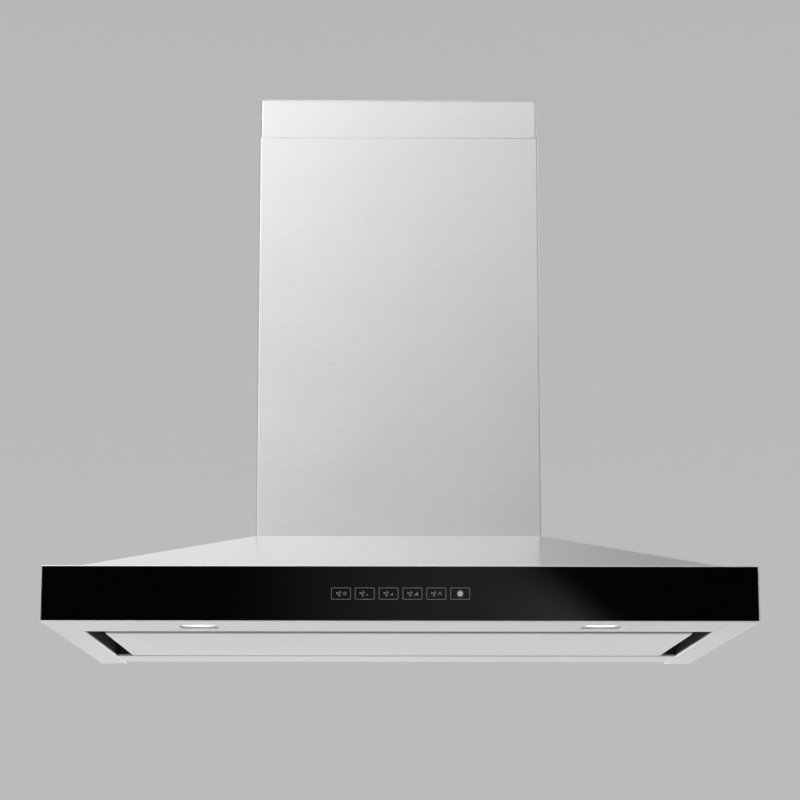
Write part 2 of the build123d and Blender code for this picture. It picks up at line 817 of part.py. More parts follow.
def make_panel_backing():
    """Stiffening pan inside the panel, with the hinge ears and the catch posts."""
    low_z = rim_z - panel_drop + sheet
    x = (-panel_x + backing_inset, panel_x - backing_inset)
    y = (panel_front_y + backing_inset, hinge_y + ear_width / 2)
    top_z = low_z + backing_rise
    backing = block(x, y, (low_z, top_z))
    inner_x = (x[0] + cover_sheet, x[1] - cover_sheet)
    inner_y = (y[0] + cover_sheet, y[1] - cover_sheet)
    backing -= block(inner_x, inner_y, (low_z, top_z - cover_sheet))
    ear = make_hinge_ear(top_z - cover_sheet / 2)
    post = make_catch_post(top_z - cover_sheet / 2)
    return backing + left_and_right(ear) + left_and_right(post)


def make_hinge_ear(foot_z):
    x = (hinge_spread - ear_sheet / 2, hinge_spread + ear_sheet / 2)
    half = ear_width / 2
    ear = block(x, (hinge_y - half, hinge_y + half), (foot_z, hinge_z))
    ear += rod("x", half, x, (hinge_y, hinge_z))
    return ear - rod("x", hinge_pin_radius, x, (hinge_y, hinge_z))


def make_catch_post(foot_z):
    """Steel post that meets a magnet when the panel is shut."""
    place = (catch_spread, panel_front_y + catch_inset)
    top_z = tray_z - magnet_height - moving_gap
    return rod("z", magnet_radius - 2.0, (foot_z, top_z), place)


def bracket_cheeks(side):
    """X span of a bracket cheek on one side of the right ear."""
    near = hinge_spread + side * (ear_sheet / 2 + moving_gap)
    far = near + side * ear_sheet
    return (min(near, far), max(near, far))


def make_hinge_bracket():
    """Right hinge bracket: two cheeks that hang from the tray on a foot plate."""
    half = ear_width / 2
    top_z = tray_z
    foot_x = (bracket_cheeks(-1)[0], bracket_cheeks(1)[1])
    bracket = block(foot_x, (hinge_y - half, hinge_y + half), (top_z - 2.0, top_z))
    for side in (-1, 1):
        x = bracket_cheeks(side)
        cheek = block(x, (hinge_y - half, hinge_y + half), (hinge_z, top_z - 1.0))
        cheek += rod("x", half, x, (hinge_y, hinge_z))
        bracket += cheek
    bore_x = (foot_x[0], foot_x[1])
    return bracket - rod("x", hinge_pin_radius + running_gap, bore_x, (hinge_y, hinge_z))


def make_hinge_pin():
    reach = ear_sheet / 2 + moving_gap + ear_sheet
    span = (hinge_spread - reach, hinge_spread + reach)
    return rod("x", hinge_pin_radius, span, (hinge_y, hinge_z))


def make_catch_magnet():
    place = (catch_spread, panel_front_y + catch_inset)
    return rod("z", magnet_radius, (tray_z - magnet_height, tray_z), place)


# ---- Blower ---------------------------------------------------------------------------------------


def scroll_outline():
    """Closed outline of the scroll's air space: three quarter arcs about a small square."""
    step = scroll_step / 2
    radius = spiral_radius
    left = (-step - radius, -step)
    bottom = (step, -step - radius - scroll_step)
    right = (outlet_high, step)
    top = (outlet_low, -step + radius)
    corner_left = (outlet_low, scroll_neck)
    corner_right = (outlet_high, scroll_neck)
    turn = math.sqrt(0.5)
    first = (-step - radius * turn, -step + radius * turn)
    second_radius = radius + scroll_step
    second = (step - second_radius * turn, -step - second_radius * turn)
    third_radius = radius + 2 * scroll_step
    third = (step + third_radius * turn, step - third_radius * turn)
    curves = [
        Line(corner_left, top),
        ThreePointArc(top, first, left),
        ThreePointArc(left, second, bottom),
        ThreePointArc(bottom, third, right),
        Line(right, corner_right),
        Line(corner_right, corner_left),
    ]
    return make_face(curves)


def along_y(face, y):
    """Outline drawn in X and Z about the blower's axis, extruded over a Y span."""
    solid = extrude(face, y[1] - y[0])
    return Pos(blower_x, y[1], blower_z) * Rot(90, 0, 0) * solid


def make_scroll_shell():
    air = scroll_outline()
    wrap = offset(air, amount=sheet) - air
    shell = along_y(wrap, (-scroll_y, scroll_y))
    above = block((-hood_width, hood_width), (-scroll_y, scroll_y), (outlet_z, outlet_z + scroll_trim))
    return shell - above


def scroll_plate(inner_y, outer_y):
    """Flat scroll side with a turned-in inlet lip, between two Y values."""
    low, high = min(inner_y, outer_y), max(inner_y, outer_y)
    plate = along_y(offset(scroll_outline(), amount=scroll_flange), (low, high))
    above = block((-hood_width, hood_width), (low, high), (outlet_z, outlet_z + scroll_trim))
    plate -= above
    axis = (blower_x, blower_z)
    plate -= rod("y", inlet_radius, (low, high), axis)
    lip_end = inner_y - math.copysign(inlet_lip - sheet, inner_y)
    lip_span = (min(lip_end, outer_y), max(lip_end, outer_y))
    lip = rod("y", inlet_radius, lip_span, axis) - rod("y", inlet_radius - sheet, lip_span, axis)
    return plate + lip


def make_impeller():
    """Double-inlet forward-curved wheel: blades, two end rings, a centre disc and a hub."""
    span = (-impeller_y, impeller_y)
    inner = impeller_radius - blade_depth
    blade = cut_blade(span, inner)
    wheel = wheel_disc(impeller_radius, (-blade_sheet, blade_sheet))
    for side in (-1, 1):
        ends = (side * impeller_y, side * (impeller_y - 2 * blade_sheet))
        ring_span = (min(ends), max(ends))
        wheel += wheel_disc(impeller_radius, ring_span) - wheel_disc(inner + ring_depth_gap, ring_span)
    axis = Axis((blower_x, 0, blower_z), (0, 1, 0))
    step = 360 / impeller_blades
    wheel += [blade.rotate(axis, step * index) for index in range(impeller_blades)]
    wheel += wheel_disc(hub_radius, (-hub_length / 2, hub_length / 2))
    return wheel - wheel_disc(shaft_radius, (-hub_length / 2, hub_length / 2))


def wheel_disc(radius, span):
    return rod("y", radius, span, (blower_x, blower_z))


def cut_blade(span, inner):
    """One curved blade at the top of the wheel."""
    start = (0.0, inner)
    middle = (blade_depth * blade_belly[0], inner + blade_depth * blade_belly[1])
    end_x = blade_depth * blade_lead
    end = (end_x, math.sqrt((impeller_radius - blade_tip_gap) ** 2 - end_x**2))
    outer = ThreePointArc(start, middle, end)
    shifted = [(x + blade_sheet, z) for x, z in (end, middle, start)]
    inner_arc = ThreePointArc(*shifted)
    face = make_face([outer, Line(end, shifted[0]), inner_arc, Line(shifted[2], start)])
    blade = along_y(face, span)
    return blade & wheel_disc(impeller_radius, span)


def motor_span():
    """Y span of the motor, behind the scroll's rear inlet."""
    low = scroll_y + 2 * bracket_sheet + sheet
    return (low, low + motor_length)


def make_motor_shaft():
    span = (-hub_length / 2 - shaft_proud, motor_span()[1] - shaft_proud)
    return rod("y", shaft_radius, span, (blower_x, blower_z))


def make_motor_body():
    """Capacitor-run motor with cooling ribs round its can."""
    low_y, high_y = motor_span()
    axis = (blower_x, blower_z)
    body = rod("y", motor_radius - motor_rib_depth, (low_y, high_y), axis)
    body = fillet(body.edges().sort_by(Axis.Y)[-1], motor_edge_radius)
    spin = Axis((blower_x, 0, blower_z), (0, 1, 0))
    rib_x = (blower_x - motor_rib_width / 2, blower_x + motor_rib_width / 2)
    rib_z = (blower_z + motor_radius - 2 * motor_rib_depth, blower_z + motor_radius)
    rib = block(rib_x, (low_y + motor_rib_inset, high_y - motor_rib_inset), rib_z)
    step = 360 / motor_rib_count
    body += [rib.rotate(spin, step * index) for index in range(motor_rib_count)]
    return body - rod("y", shaft_radius + running_gap, (low_y, high_y - shaft_pocket_floor), axis)


def make_motor_bracket():
    """Three-armed spider from the rear inlet's rim to the motor's face."""
    low_y = scroll_y + sheet
    high_y = motor_span()[0]
    axis = (blower_x, blower_z)
    rim_span = (low_y, low_y + bracket_sheet)
    rim_outer = inlet_radius + bracket_rim
    bracket = rod("y", rim_outer, rim_span, axis) - rod("y", inlet_radius, rim_span, axis)
    hub_span = (low_y, high_y)
    hub_outer = motor_radius - bracket_hub_inset
    bracket += rod("y", hub_outer, hub_span, axis)
    spin = Axis((blower_x, 0, blower_z), (0, 1, 0))
    half = bracket_arm_width / 2
    arm_z = (blower_z + hub_outer - bracket_root, blower_z + inlet_radius + bracket_root)
    arm = block((blower_x - half, blower_x + half), rim_span, arm_z)
    step = 360 / bracket_arms
    bracket += [arm.rotate(spin, step * index) for index in range(bracket_arms)]
    return bracket - rod("y", shaft_radius + 1.0, hub_span, axis)


def make_blower_rail():
    """Rear rail of the pair that carries the blower across the frame ring."""
    inner_y = scroll_y + sheet
    reach = neck_x - cover_sheet - 2 * moving_gap
    x = (-reach, reach)
    foot = block(x, (inner_y, inner_y + rail_foot), (ring_z, ring_z + rail_sheet))
    leg_x = (-scroll_left() - 4.0, junction_offset + junction_width)
    leg = block(leg_x, (inner_y, inner_y + rail_sheet), (ring_z, ring_z + rail_height))
    return (foot + leg) - motor_bracket_relief()


def scroll_left():
    """Distance from the middle plane to the scroll's left edge."""
    return -(blower_x - scroll_step / 2 - spiral_radius - scroll_flange)


def motor_bracket_relief():
    """Round relief that keeps the rail off the motor bracket's rim."""
    inner_y = scroll_y + sheet
    span = (inner_y, inner_y + rail_foot)
    return rod("y", inlet_radius + bracket_rim + 1.0, span, (blower_x, blower_z))


# ---- Outlet and damper ------------------------------------------------------------------------------


def make_outlet_adapter():
    """Tapered duct between the scroll's outlet and the round collar's flange."""
    half_x = outlet_width / 2 + sheet
    half_y = scroll_y + sheet
    top_half = duct_radius + 1.0
    low = ((-half_x, half_x), (-half_y, half_y))
    high = ((-top_half, top_half), (-top_half, top_half))
    z = (outlet_z, outlet_z + adapter_height)
    outer = frustum(low, high, z)
    low_in = ((-half_x + sheet, half_x - sheet), (-half_y + sheet, half_y - sheet))
    high_half = top_half - sheet
    high_in = ((-high_half, high_half), (-high_half, high_half))
    return outer - frustum(low_in, high_in, z)


def make_duct_collar():
    """Round duct collar on a square flange, bored for the damper's spindle."""
    half = duct_radius + collar_flange
    flange = prism(half, half, 2 * bend, (collar_z - collar_flange_thickness, collar_z))
    tube_z = (collar_z - collar_flange_thickness, collar_z + duct_collar_height)
    collar = flange + rod("z", duct_radius, tube_z, (0, 0))
    collar -= rod("z", duct_radius - duct_wall, tube_z, (0, 0))
    spindle_span = (-duct_radius, duct_radius)
    return collar - rod("y", spindle_radius, spindle_span, (0, flap_z))


def make_damper_spindle():
    reach = duct_radius - spindle_end_gap
    return rod("y", spindle_radius, (-reach, reach), (0, flap_z))


def make_damper_flap():
    """Right half of the damper, with its knuckles round the spindle."""
    z = (flap_z - flap_sheet / 2, flap_z + flap_sheet / 2)
    radius = duct_radius - duct_wall - flap_gap
    flap = rod("z", radius, z, (0, 0))
    flap -= block((-2 * radius, flap_root), (-2 * radius, 2 * radius), z)
    for start in (-2, 0):
        y = (start * knuckle_length + moving_gap, (start + 1) * knuckle_length - moving_gap)
        flap += rod("y", knuckle_radius, y, (0, flap_z))
        flap += block((0, flap_root + 1.0), y, z)
    return flap - rod("y", spindle_radius + running_gap, (-radius, radius), (0, flap_z))


# ---- Electrics ----------------------------------------------------------------------------------------


def control_box_spans():
    x_low = -tray_x + control_box_inset
    half = control_box_length / 2
    middle = (tray_front_y + tray_rear_y) / 2
    z_low = tray_z + sheet
    return (
        (x_low, x_low + control_box_width),
        (middle - half, middle + half),
        (z_low, z_low + control_box_height),
    )


def make_control_box():
    x, y, z = control_box_spans()
    box = block(x, y, (z[0], z[1] - box_wall))
    inner_x = (x[0] + box_wall, x[1] - box_wall)
    inner_y = (y[0] + box_wall, y[1] - box_wall)
    return box - block(inner_x, inner_y, (z[0] + box_wall, z[1]))


def make_control_box_lid():
    x, y, z = control_box_spans()
    return block(x, y, (z[1] - box_wall, z[1]))


def circuit_spans():
    """Where the control board lies inside its box."""
    x, y, z = control_box_spans()
    middle_x = (x[0] + x[1]) / 2
    middle_y = (y[0] + y[1]) / 2
    low_z = z[0] + circuit_rise
    return (
        (middle_x - circuit_width / 2, middle_x + circuit_width / 2),
        (middle_y - circuit_length / 2, middle_y + circuit_length / 2),
        (low_z, low_z + board_thickness),
    )


def make_control_board():
    """Control board on four stand-offs, with relays and a terminal strip."""
    x, y, z = circuit_spans()
    board = block(x, y, z)
    box_floor = control_box_spans()[2][0] + box_wall
    for post_x in (x[0] + post_inset, x[1] - post_inset):
        for post_y in (y[0] + post_inset, y[1] - post_inset):
            board += rod("z", post_radius, (box_floor, z[0] + board_thickness / 2), (post_x, post_y))
    seat_z = z[1] - board_thickness / 2
    for index in range(relay_count):
        relay_y = y[0] + relay_start + relay_pitch * index
        relay_x = (x[0] + relay_inset, x[0] + relay_inset + relay_length)
        board += block(relay_x, (relay_y, relay_y + relay_width), (seat_z, z[1] + relay_height))
    strip_x = (x[1] - strip_inset - strip_width, x[1] - strip_inset)
    strip_y = (y[0] + strip_end_gap, y[1] - strip_end_gap)
    return board + block(strip_x, strip_y, (seat_z, z[1] + strip_height))


def make_motor_capacitor():
    """Run capacitor lying across the end of the control box."""
    x, y, z = control_box_spans()
    middle_x = (x[0] + x[1]) / 2
    half = capacitor_length / 2
    across = (y[1] - box_wall - capacitor_radius - capacitor_gap, z[0] + box_wall + capacitor_radius)
    return rod("x", capacitor_radius, (middle_x - half, middle_x + half), across)


def junction_spans():
    half_y = scroll_y + sheet
    z_low = ring_z + rail_sheet
    return (
        (junction_offset, junction_offset + junction_width),
        (-half_y, half_y),
        (z_low, z_low + junction_height),
    )


def make_junction_box():
    """Supply junction box beside the scroll, open to the right, with a conduit knockout."""
    x, y, z = junction_spans()
    box = block((x[0], x[1] - box_wall), y, z)
    inner_y = (y[0] + box_wall, y[1] - box_wall)
    inner_z = (z[0] + box_wall, z[1] - box_wall)
    box -= block((x[0] + box_wall, x[1]), inner_y, inner_z)
    middle_x = (x[0] + x[1]) / 2
    return box - rod("z", knockout_radius, (z[1] - box_wall, z[1]), (middle_x, 0))


def make_junction_cover():
    x, y, z = junction_spans()
    return block((x[1] - box_wall, x[1]), y, z)


def cable(points, radius):
    """Round cable along straight runs joined by tangent arcs."""
    path = FilletPolyline(*points, radius=cable_bend)
    start = Plane(origin=path @ 0, z_dir=path % 0)
    return sweep(start * Circle(radius), path=path)


def lamp_routes():
    """Leads from the control box to the left and the right lamp."""
    x, y, _ = control_box_spans()
    lead_z = tray_z + cable_rise
    can_z = rim_z + lamp_can_height
    left_x = x[0] + lead_pitch
    right_x = x[0] + 2 * lead_pitch
    row_y = opening_front_y - lamp_lead_setback
    left = [
        (left_x, y[0], lead_z),
        (left_x, lamp_y, lead_z),
        (-lamp_spread, lamp_y, lead_z),
        (-lamp_spread, lamp_y, can_z),
    ]
    right = [
        (right_x, y[0], lead_z),
        (right_x, row_y, lead_z),
        (lamp_spread, row_y, lead_z),
        (lamp_spread, lamp_y, lead_z - lead_dip),
        (lamp_spread, lamp_y, can_z),
    ]
    return left, right


def key_route():
    """Lead from the control box to the touch-key board."""
    x, y, _ = control_box_spans()
    key_x = x[0] + 3 * lead_pitch
    row_y = opening_front_y - key_lead_setback
    board_y = front_y + glass_gap + glass_thickness + board_thickness + carrier_depth
    route = [(key_x, y[0]), (key_x, row_y), (0.0, row_y), (0.0, board_y)]
    return [(*place, key_lead_z()) for place in route]


def motor_route():
    """Lead from the control box up to the side of the motor."""
    x = control_box_spans()[0]
    lead_z = tray_z + cable_rise
    motor_y = sum(motor_span()) / 2
    riser_x = blower_x - motor_radius - motor_lead_clear
    return [
        (x[1], motor_y, lead_z),
        (riser_x, motor_y, lead_z),
        (riser_x, motor_y, blower_z),
        (blower_x - motor_radius + 1.0, motor_y, blower_z),
    ]


def make_wiring():
    """Internal leads from the control box to the lamps, the keys and the motor."""
    leads = [cable(route, cable_radius) for route in (*lamp_routes(), key_route())]
    return leads + [cable(motor_route(), motor_cable_radius)]


# ---- Files ----------------------------------------------------------------------------------------------


def write_ceiling_mount():
    save("ceiling_plate", make_ceiling_plate())
    save("upper_uprights", *four_corners(make_upper_upright()))
    front, rear = make_upper_covers()
    save("upper_chimney_front", front)
    save("upper_chimney_rear", rear)
    save("upper_cover_screws", *four_corners(make_upper_cover_screw()))
    save("frame_clamp_bolts", *four_corners(make_clamp_bolt()))


def write_lower_chimney():
    save("lower_uprights", *four_corners(make_lower_upright()))
    save("frame_ring", make_frame_ring())
    front, rear = make_lower_covers()
    save("lower_chimney_front", front)
    save("lower_chimney_rear", rear)
    save("lower_cover_screws", *four_corners(make_lower_cover_screw()))


def write_canopy():
    save("canopy_slopes", *make_canopy_slopes())
    save("canopy_neck", make_canopy_neck())
    right, left = left_and_right(make_right_side_panel())
    save("right_side_panel", right)
    save("left_side_panel", left)
    save("rear_panel", make_rear_panel())
    save("rear_rail", make_rear_rail())
    save("front_housing", make_front_housing())
    save("glass_panel", make_glass_panel())
    save("glass_gasket", make_glass_gasket())
    save("touch_key_board", make_key_board())
    save("touch_key_carrier", make_key_board_carrier())


def write_pair(name, shape):
    """A node for the right-hand piece and one for its mirror image."""
    right, left = left_and_right(shape)
    save(f"{name}_right", right)
    save(f"{name}_left", left)


def write_lamps():
    write_pair("lamp_housing", make_lamp_housing())
    write_pair("lamp_lens", make_lamp_lens())
    save("led_boards", *left_and_right(make_led_board()))


def write_filters():
    save("filter_tray", make_filter_tray())
    keepers = left_and_right(make_front_keeper()) + left_and_right(make_rear_keeper())
    save("filter_keepers", *keepers)
    write_pair("filter_frame", make_filter_frame())
    write_pair("filter_mesh", make_filter_mesh())
    write_pair("filter_latch", make_filter_latch())


def write_suction_panel():
    save("suction_panel", make_suction_panel())
    save("panel_backing", make_panel_backing())
    save("panel_hinge_pins", *left_and_right(make_hinge_pin()))
    save("panel_hinge_brackets", *left_and_right(make_hinge_bracket()))
    save("panel_catch_magnets", *left_and_right(make_catch_magnet()))


def write_blower():
    save("scroll_shell", make_scroll_shell())
    save("scroll_front_plate", scroll_plate(-scroll_y, -scroll_y - sheet))
    save("scroll_rear_plate", scroll_plate(scroll_y, scroll_y + sheet))
    save("impeller", make_impeller())
    save("motor_shaft", make_motor_shaft())
    save("motor_body", make_motor_body())
    save("motor_bracket", make_motor_bracket())
    rail = make_blower_rail()
    save("blower_rails", rail, mirror(rail, about=Plane.XZ))


def write_outlet():
    save("outlet_adapter", make_outlet_adapter())
    save("duct_collar", make_duct_collar())
    save("damper_spindle", make_damper_spindle())
    flap = make_damper_flap()
    save("damper_flap_right", flap)
    save("damper_flap_left", flap.rotate(Axis.Z, 180))


def write_electrics():
    save("control_box", make_control_box())
    save("control_box_lid", make_control_box_lid())
    save("control_board", make_control_board())
    save("motor_capacitor", make_motor_capacitor())
    save("junction_box", make_junction_box())
    save("junction_box_cover", make_junction_cover())
    save("internal_wiring", *make_wiring())


os.makedirs("parts", exist_ok=True)
write_ceiling_mount()
write_lower_chimney()
write_canopy()
write_lamps()
write_filters()
write_suction_panel()
write_blower()
write_outlet()
write_electrics()
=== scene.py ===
import math

import bmesh
import bpy
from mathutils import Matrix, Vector


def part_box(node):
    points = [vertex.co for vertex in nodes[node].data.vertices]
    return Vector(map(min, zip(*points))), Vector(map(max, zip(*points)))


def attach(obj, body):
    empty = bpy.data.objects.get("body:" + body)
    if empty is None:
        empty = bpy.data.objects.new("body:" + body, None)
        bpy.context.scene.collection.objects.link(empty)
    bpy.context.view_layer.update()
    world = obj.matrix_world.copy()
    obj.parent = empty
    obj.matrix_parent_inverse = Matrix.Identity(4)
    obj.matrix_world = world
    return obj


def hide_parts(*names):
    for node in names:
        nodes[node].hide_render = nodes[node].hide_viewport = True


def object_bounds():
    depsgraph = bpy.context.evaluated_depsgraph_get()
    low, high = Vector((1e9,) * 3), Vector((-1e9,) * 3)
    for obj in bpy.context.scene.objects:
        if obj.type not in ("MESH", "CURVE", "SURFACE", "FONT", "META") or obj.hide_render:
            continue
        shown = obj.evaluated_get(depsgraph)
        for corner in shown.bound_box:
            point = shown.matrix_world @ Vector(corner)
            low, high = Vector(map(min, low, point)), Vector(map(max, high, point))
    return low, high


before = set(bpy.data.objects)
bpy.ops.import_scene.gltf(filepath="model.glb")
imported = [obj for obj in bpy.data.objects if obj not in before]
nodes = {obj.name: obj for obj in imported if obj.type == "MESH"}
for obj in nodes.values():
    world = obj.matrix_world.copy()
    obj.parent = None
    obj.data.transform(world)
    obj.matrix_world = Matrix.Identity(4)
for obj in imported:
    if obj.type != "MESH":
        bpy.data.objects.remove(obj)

cad_low, cad_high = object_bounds()

# ---- Camera ----------------------------------------------------------------------------------------

CAMERA_PLACE = (-0.0325, -3.297, -1.036)
CAMERA_PITCH = math.radians(9.88)  # upward
CAMERA_YAW = math.radians(0.563)  # towards +X
CAMERA_LENS = 105.04
CAMERA_SENSOR = 36.0
CAMERA_SHIFT = (0.0027, 0.05)
CAMERA_NEAR, CAMERA_FAR = 0.05, 200.0


def make_camera():
    """Camera in front of the hood and below its rim, looking slightly up."""
    data = bpy.data.cameras.new("camera")
    data.lens = CAMERA_LENS
    data.sensor_width = CAMERA_SENSOR
    data.shift_x, data.shift_y = CAMERA_SHIFT
    data.clip_start = CAMERA_NEAR
    data.clip_end = CAMERA_FAR
    camera = bpy.data.objects.new("camera", data)
    camera.location = CAMERA_PLACE
    level = math.cos(CAMERA_PITCH)
    forward = Vector((math.sin(CAMERA_YAW) * level, math.cos(CAMERA_YAW) * level, math.sin(CAMERA_PITCH)))
    camera.rotation_mode = "QUATERNION"
    camera.rotation_quaternion = forward.to_track_quat("-Z", "Y")
    bpy.context.scene.collection.objects.link(camera)
    bpy.context.scene.camera = camera


make_camera()
bpy.context.scene.view_settings.view_transform = "Standard"

# ---- Room and light --------------------------------------------------------------------------------

FLOOR_DROP = 0.95  # floor below the hood's lowest point
FLOOR_REACH = 60.0
FLOOR_SIDES = 96
ROOM_LOW, ROOM_HIGH = 0.50, 0.42  # world strength at and above the horizon
ROOM_RISE = (0.0, 0.9)

# Spans below are parts of a unit direction: fades start at the first number and end at the second.
FRONT = (-0.45, -0.80)  # along Y, towards the front half of the room
FRONT_BELOW = (0.02, -0.25)
WINDOW_RISE = (0.165, 0.53)
WINDOW_LEAN = (-0.30, 0.16)  # from the left to the right of the soft window
WINDOW_LEFT, WINDOW_RIGHT = 6.2, 1.4  # world strength at those two ends
WINDOW_END = (-0.62, -0.40)
WINDOW_END_SHARE = 0.12  # what is left of the window beyond its left end
MIDDLE_RISE = (0.42, 0.20)  # low middle of the window, where it is dimmed
MIDDLE_ACROSS = (-0.20, -0.05)
MIDDLE_DIM = 0.60

# Faint patch that only the glass reflects, in slopes across and up per unit forward.
GLASS_GLOW = 0.30
GLASS_CORNER = 0.26
GLOW_LEFT = (-0.075, 0.035)
GLOW_RIGHT = (0.185, 0.212)
GLOW_SLANT = 1.085
GLOW_RISE = (0.02, 0.06)
CORNER_ACROSS = (0.140, 0.190)
CORNER_RISE = (0.118, 0.094)

# Soft lights: name, place, target, size, power.
SOFTBOXES = [
    ("key_softbox", (-2.6, -2.8, 1.5), (0.0, 0.0, -0.35), (2.4, 2.4), 30.0),
    ("low_rear_strip", (-0.6, 5.2, -1.35), (0.0, 0.0, -1.0), (9.0, 1.0), 62.0),
    ("rear_softbox", (-1.1, 3.2, 3.0), (0.0, 0.0, -0.4), (3.2, 2.2), 25.0),
    ("side_softbox", (3.6, 0.9, 1.2), (0.0, 0.0, -0.4), (2.2, 2.2), 20.0),
]
OFF_THE_FLOOR = ["low_rear_strip"]  # stands so close to the floor that it would burn a streak into it


def make_floor():
    """Plain pale floor, well below the hood."""
    z = cad_low.z - FLOOR_DROP
    mesh = bpy.data.meshes.new("floor")
    turns = [2 * math.pi * i / FLOOR_SIDES for i in range(FLOOR_SIDES)]
    ring = [(FLOOR_REACH * math.cos(turn), FLOOR_REACH * math.sin(turn), z) for turn in turns]
    mesh.from_pydata(ring, [], [tuple(range(FLOOR_SIDES))])
    floor = bpy.data.objects.new("floor", mesh)
    bpy.context.scene.collection.objects.link(floor)
    return floor


class World:
    """Shader graph of the studio surround, worked out from the direction that is looked in."""

    def __init__(self):
        self.world = bpy.data.worlds.new("studio")
        self.world.use_nodes = True
        self.nodes = self.world.node_tree.nodes
        self.links = self.world.node_tree.links
        coords = self.nodes.new("ShaderNodeTexCoord")
        split = self.nodes.new("ShaderNodeSeparateXYZ")
        self.links.new(coords.outputs["Generated"], split.inputs[0])
        self.x, self.y, self.z = split.outputs

    def calc(self, operation, a, b=0.0):
        node = self.nodes.new("ShaderNodeMath")
        node.operation = operation
        for value, socket in ((a, node.inputs[0]), (b, node.inputs[1])):
            if isinstance(value, bpy.types.NodeSocket):
                self.links.new(value, socket)
            else:
                socket.default_value = value
        return node.outputs[0]

    def fade(self, value, start, end, low=0.0, high=1.0):
        """Smooth step of a value, from low at start to high at end."""
        node = self.nodes.new("ShaderNodeMapRange")
        node.interpolation_type = "SMOOTHSTEP"
        self.links.new(value, node.inputs["Value"])
        for name, number in (("From Min", start), ("From Max", end), ("To Min", low), ("To Max", high)):
            node.inputs[name].default_value = number
        return node.outputs[0]


def make_world():
    """Soft studio surround: an even pale room, dim at eye height in front, under a broad soft window."""
    studio = World()
    front = studio.fade(studio.y, *FRONT)
    room = studio.fade(studio.z, *ROOM_RISE, ROOM_LOW, ROOM_HIGH)
    rear_room = studio.calc("MULTIPLY", room, studio.calc("SUBTRACT", 1.0, front))
    below = studio.fade(studio.z, *FRONT_BELOW, 0.0, ROOM_LOW)
    ahead = studio.calc("ADD", studio.calc("ADD", soft_window(studio), below), glass_glow(studio))
    lit = studio.calc("ADD", rear_room, studio.calc("MULTIPLY", ahead, front))
    background = studio.nodes["Background"]
    studio.links.new(lit, background.inputs["Strength"])
    background.inputs["Color"].default_value = (1.0, 1.0, 1.0, 1.0)
    bpy.context.scene.world = studio.world


def soft_window(studio):
    """Broad window in front, brightest high on the left."""
    ends = studio.fade(studio.x, *WINDOW_END, WINDOW_END_SHARE, 1.0)
    lean = studio.calc("MULTIPLY", studio.fade(studio.x, *WINDOW_LEAN, WINDOW_LEFT, WINDOW_RIGHT), ends)
    low = studio.fade(studio.z, *MIDDLE_RISE)
    low_middle = studio.calc("MULTIPLY", low, studio.fade(studio.x, *MIDDLE_ACROSS))
    dimmed = studio.calc("SUBTRACT", 1.0, studio.calc("MULTIPLY", low_middle, MIDDLE_DIM))
    window = studio.calc("MULTIPLY", studio.fade(studio.z, *WINDOW_RISE), lean)
    return studio.calc("MULTIPLY", window, dimmed)


def glass_glow(studio):
    """Faint soft patch with a slanting right edge, which shows only in the glass."""
    depth = studio.calc("MULTIPLY", studio.y, -1.0)
    across = studio.calc("DIVIDE", studio.x, depth)
    up = studio.calc("DIVIDE", studio.z, depth)
    slanted = studio.calc("ADD", across, studio.calc("MULTIPLY", up, GLOW_SLANT))
    left = studio.fade(across, *GLOW_LEFT)
    right = studio.fade(slanted, *GLOW_RIGHT, 1.0, 0.0)
    level = studio.fade(up, *GLOW_RISE)
    glow = studio.calc("MULTIPLY", studio.calc("MULTIPLY", left, right), level)
    corner = studio.calc("MULTIPLY", studio.fade(slanted, *CORNER_ACROSS), studio.fade(up, *CORNER_RISE))
    corner = studio.calc("MULTIPLY", studio.calc("MULTIPLY", corner, right), GLASS_CORNER)
    return studio.calc("ADD", studio.calc("MULTIPLY", glow, GLASS_GLOW), corner)


def soft_light(name, place, target, size, power):
    """Large rectangular softbox that points at a target and doesn't show itself to the camera."""
    data = bpy.data.lights.new(name, "AREA")
    data.shape = "RECTANGLE"
    data.size, data.size_y = size
    data.energy = power
    light = bpy.data.objects.new(name, data)
    light.location = place
    light.rotation_mode = "QUATERNION"
    light.rotation_quaternion = (Vector(target) - Vector(place)).to_track_quat("-Z", "Y")
    light.visible_camera = False
    bpy.context.scene.collection.objects.link(light)
    return light


def spare_floor(light, floor):
    """Leaves the floor out of what a light reaches."""
    receivers = bpy.data.collections.new(f"{light.name}_receivers")
    receivers.objects.link(floor)
    receivers.collection_objects[0].light_linking.link_state = "EXCLUDE"
    light.light_linking.receiver_collection = receivers


floor = make_floor()
make_world()
for softbox in SOFTBOXES:
    light = soft_light(*softbox)
    if light.name in OFF_THE_FLOOR:
        spare_floor(light, floor)

# ---- Materials -------------------------------------------------------------------------------------


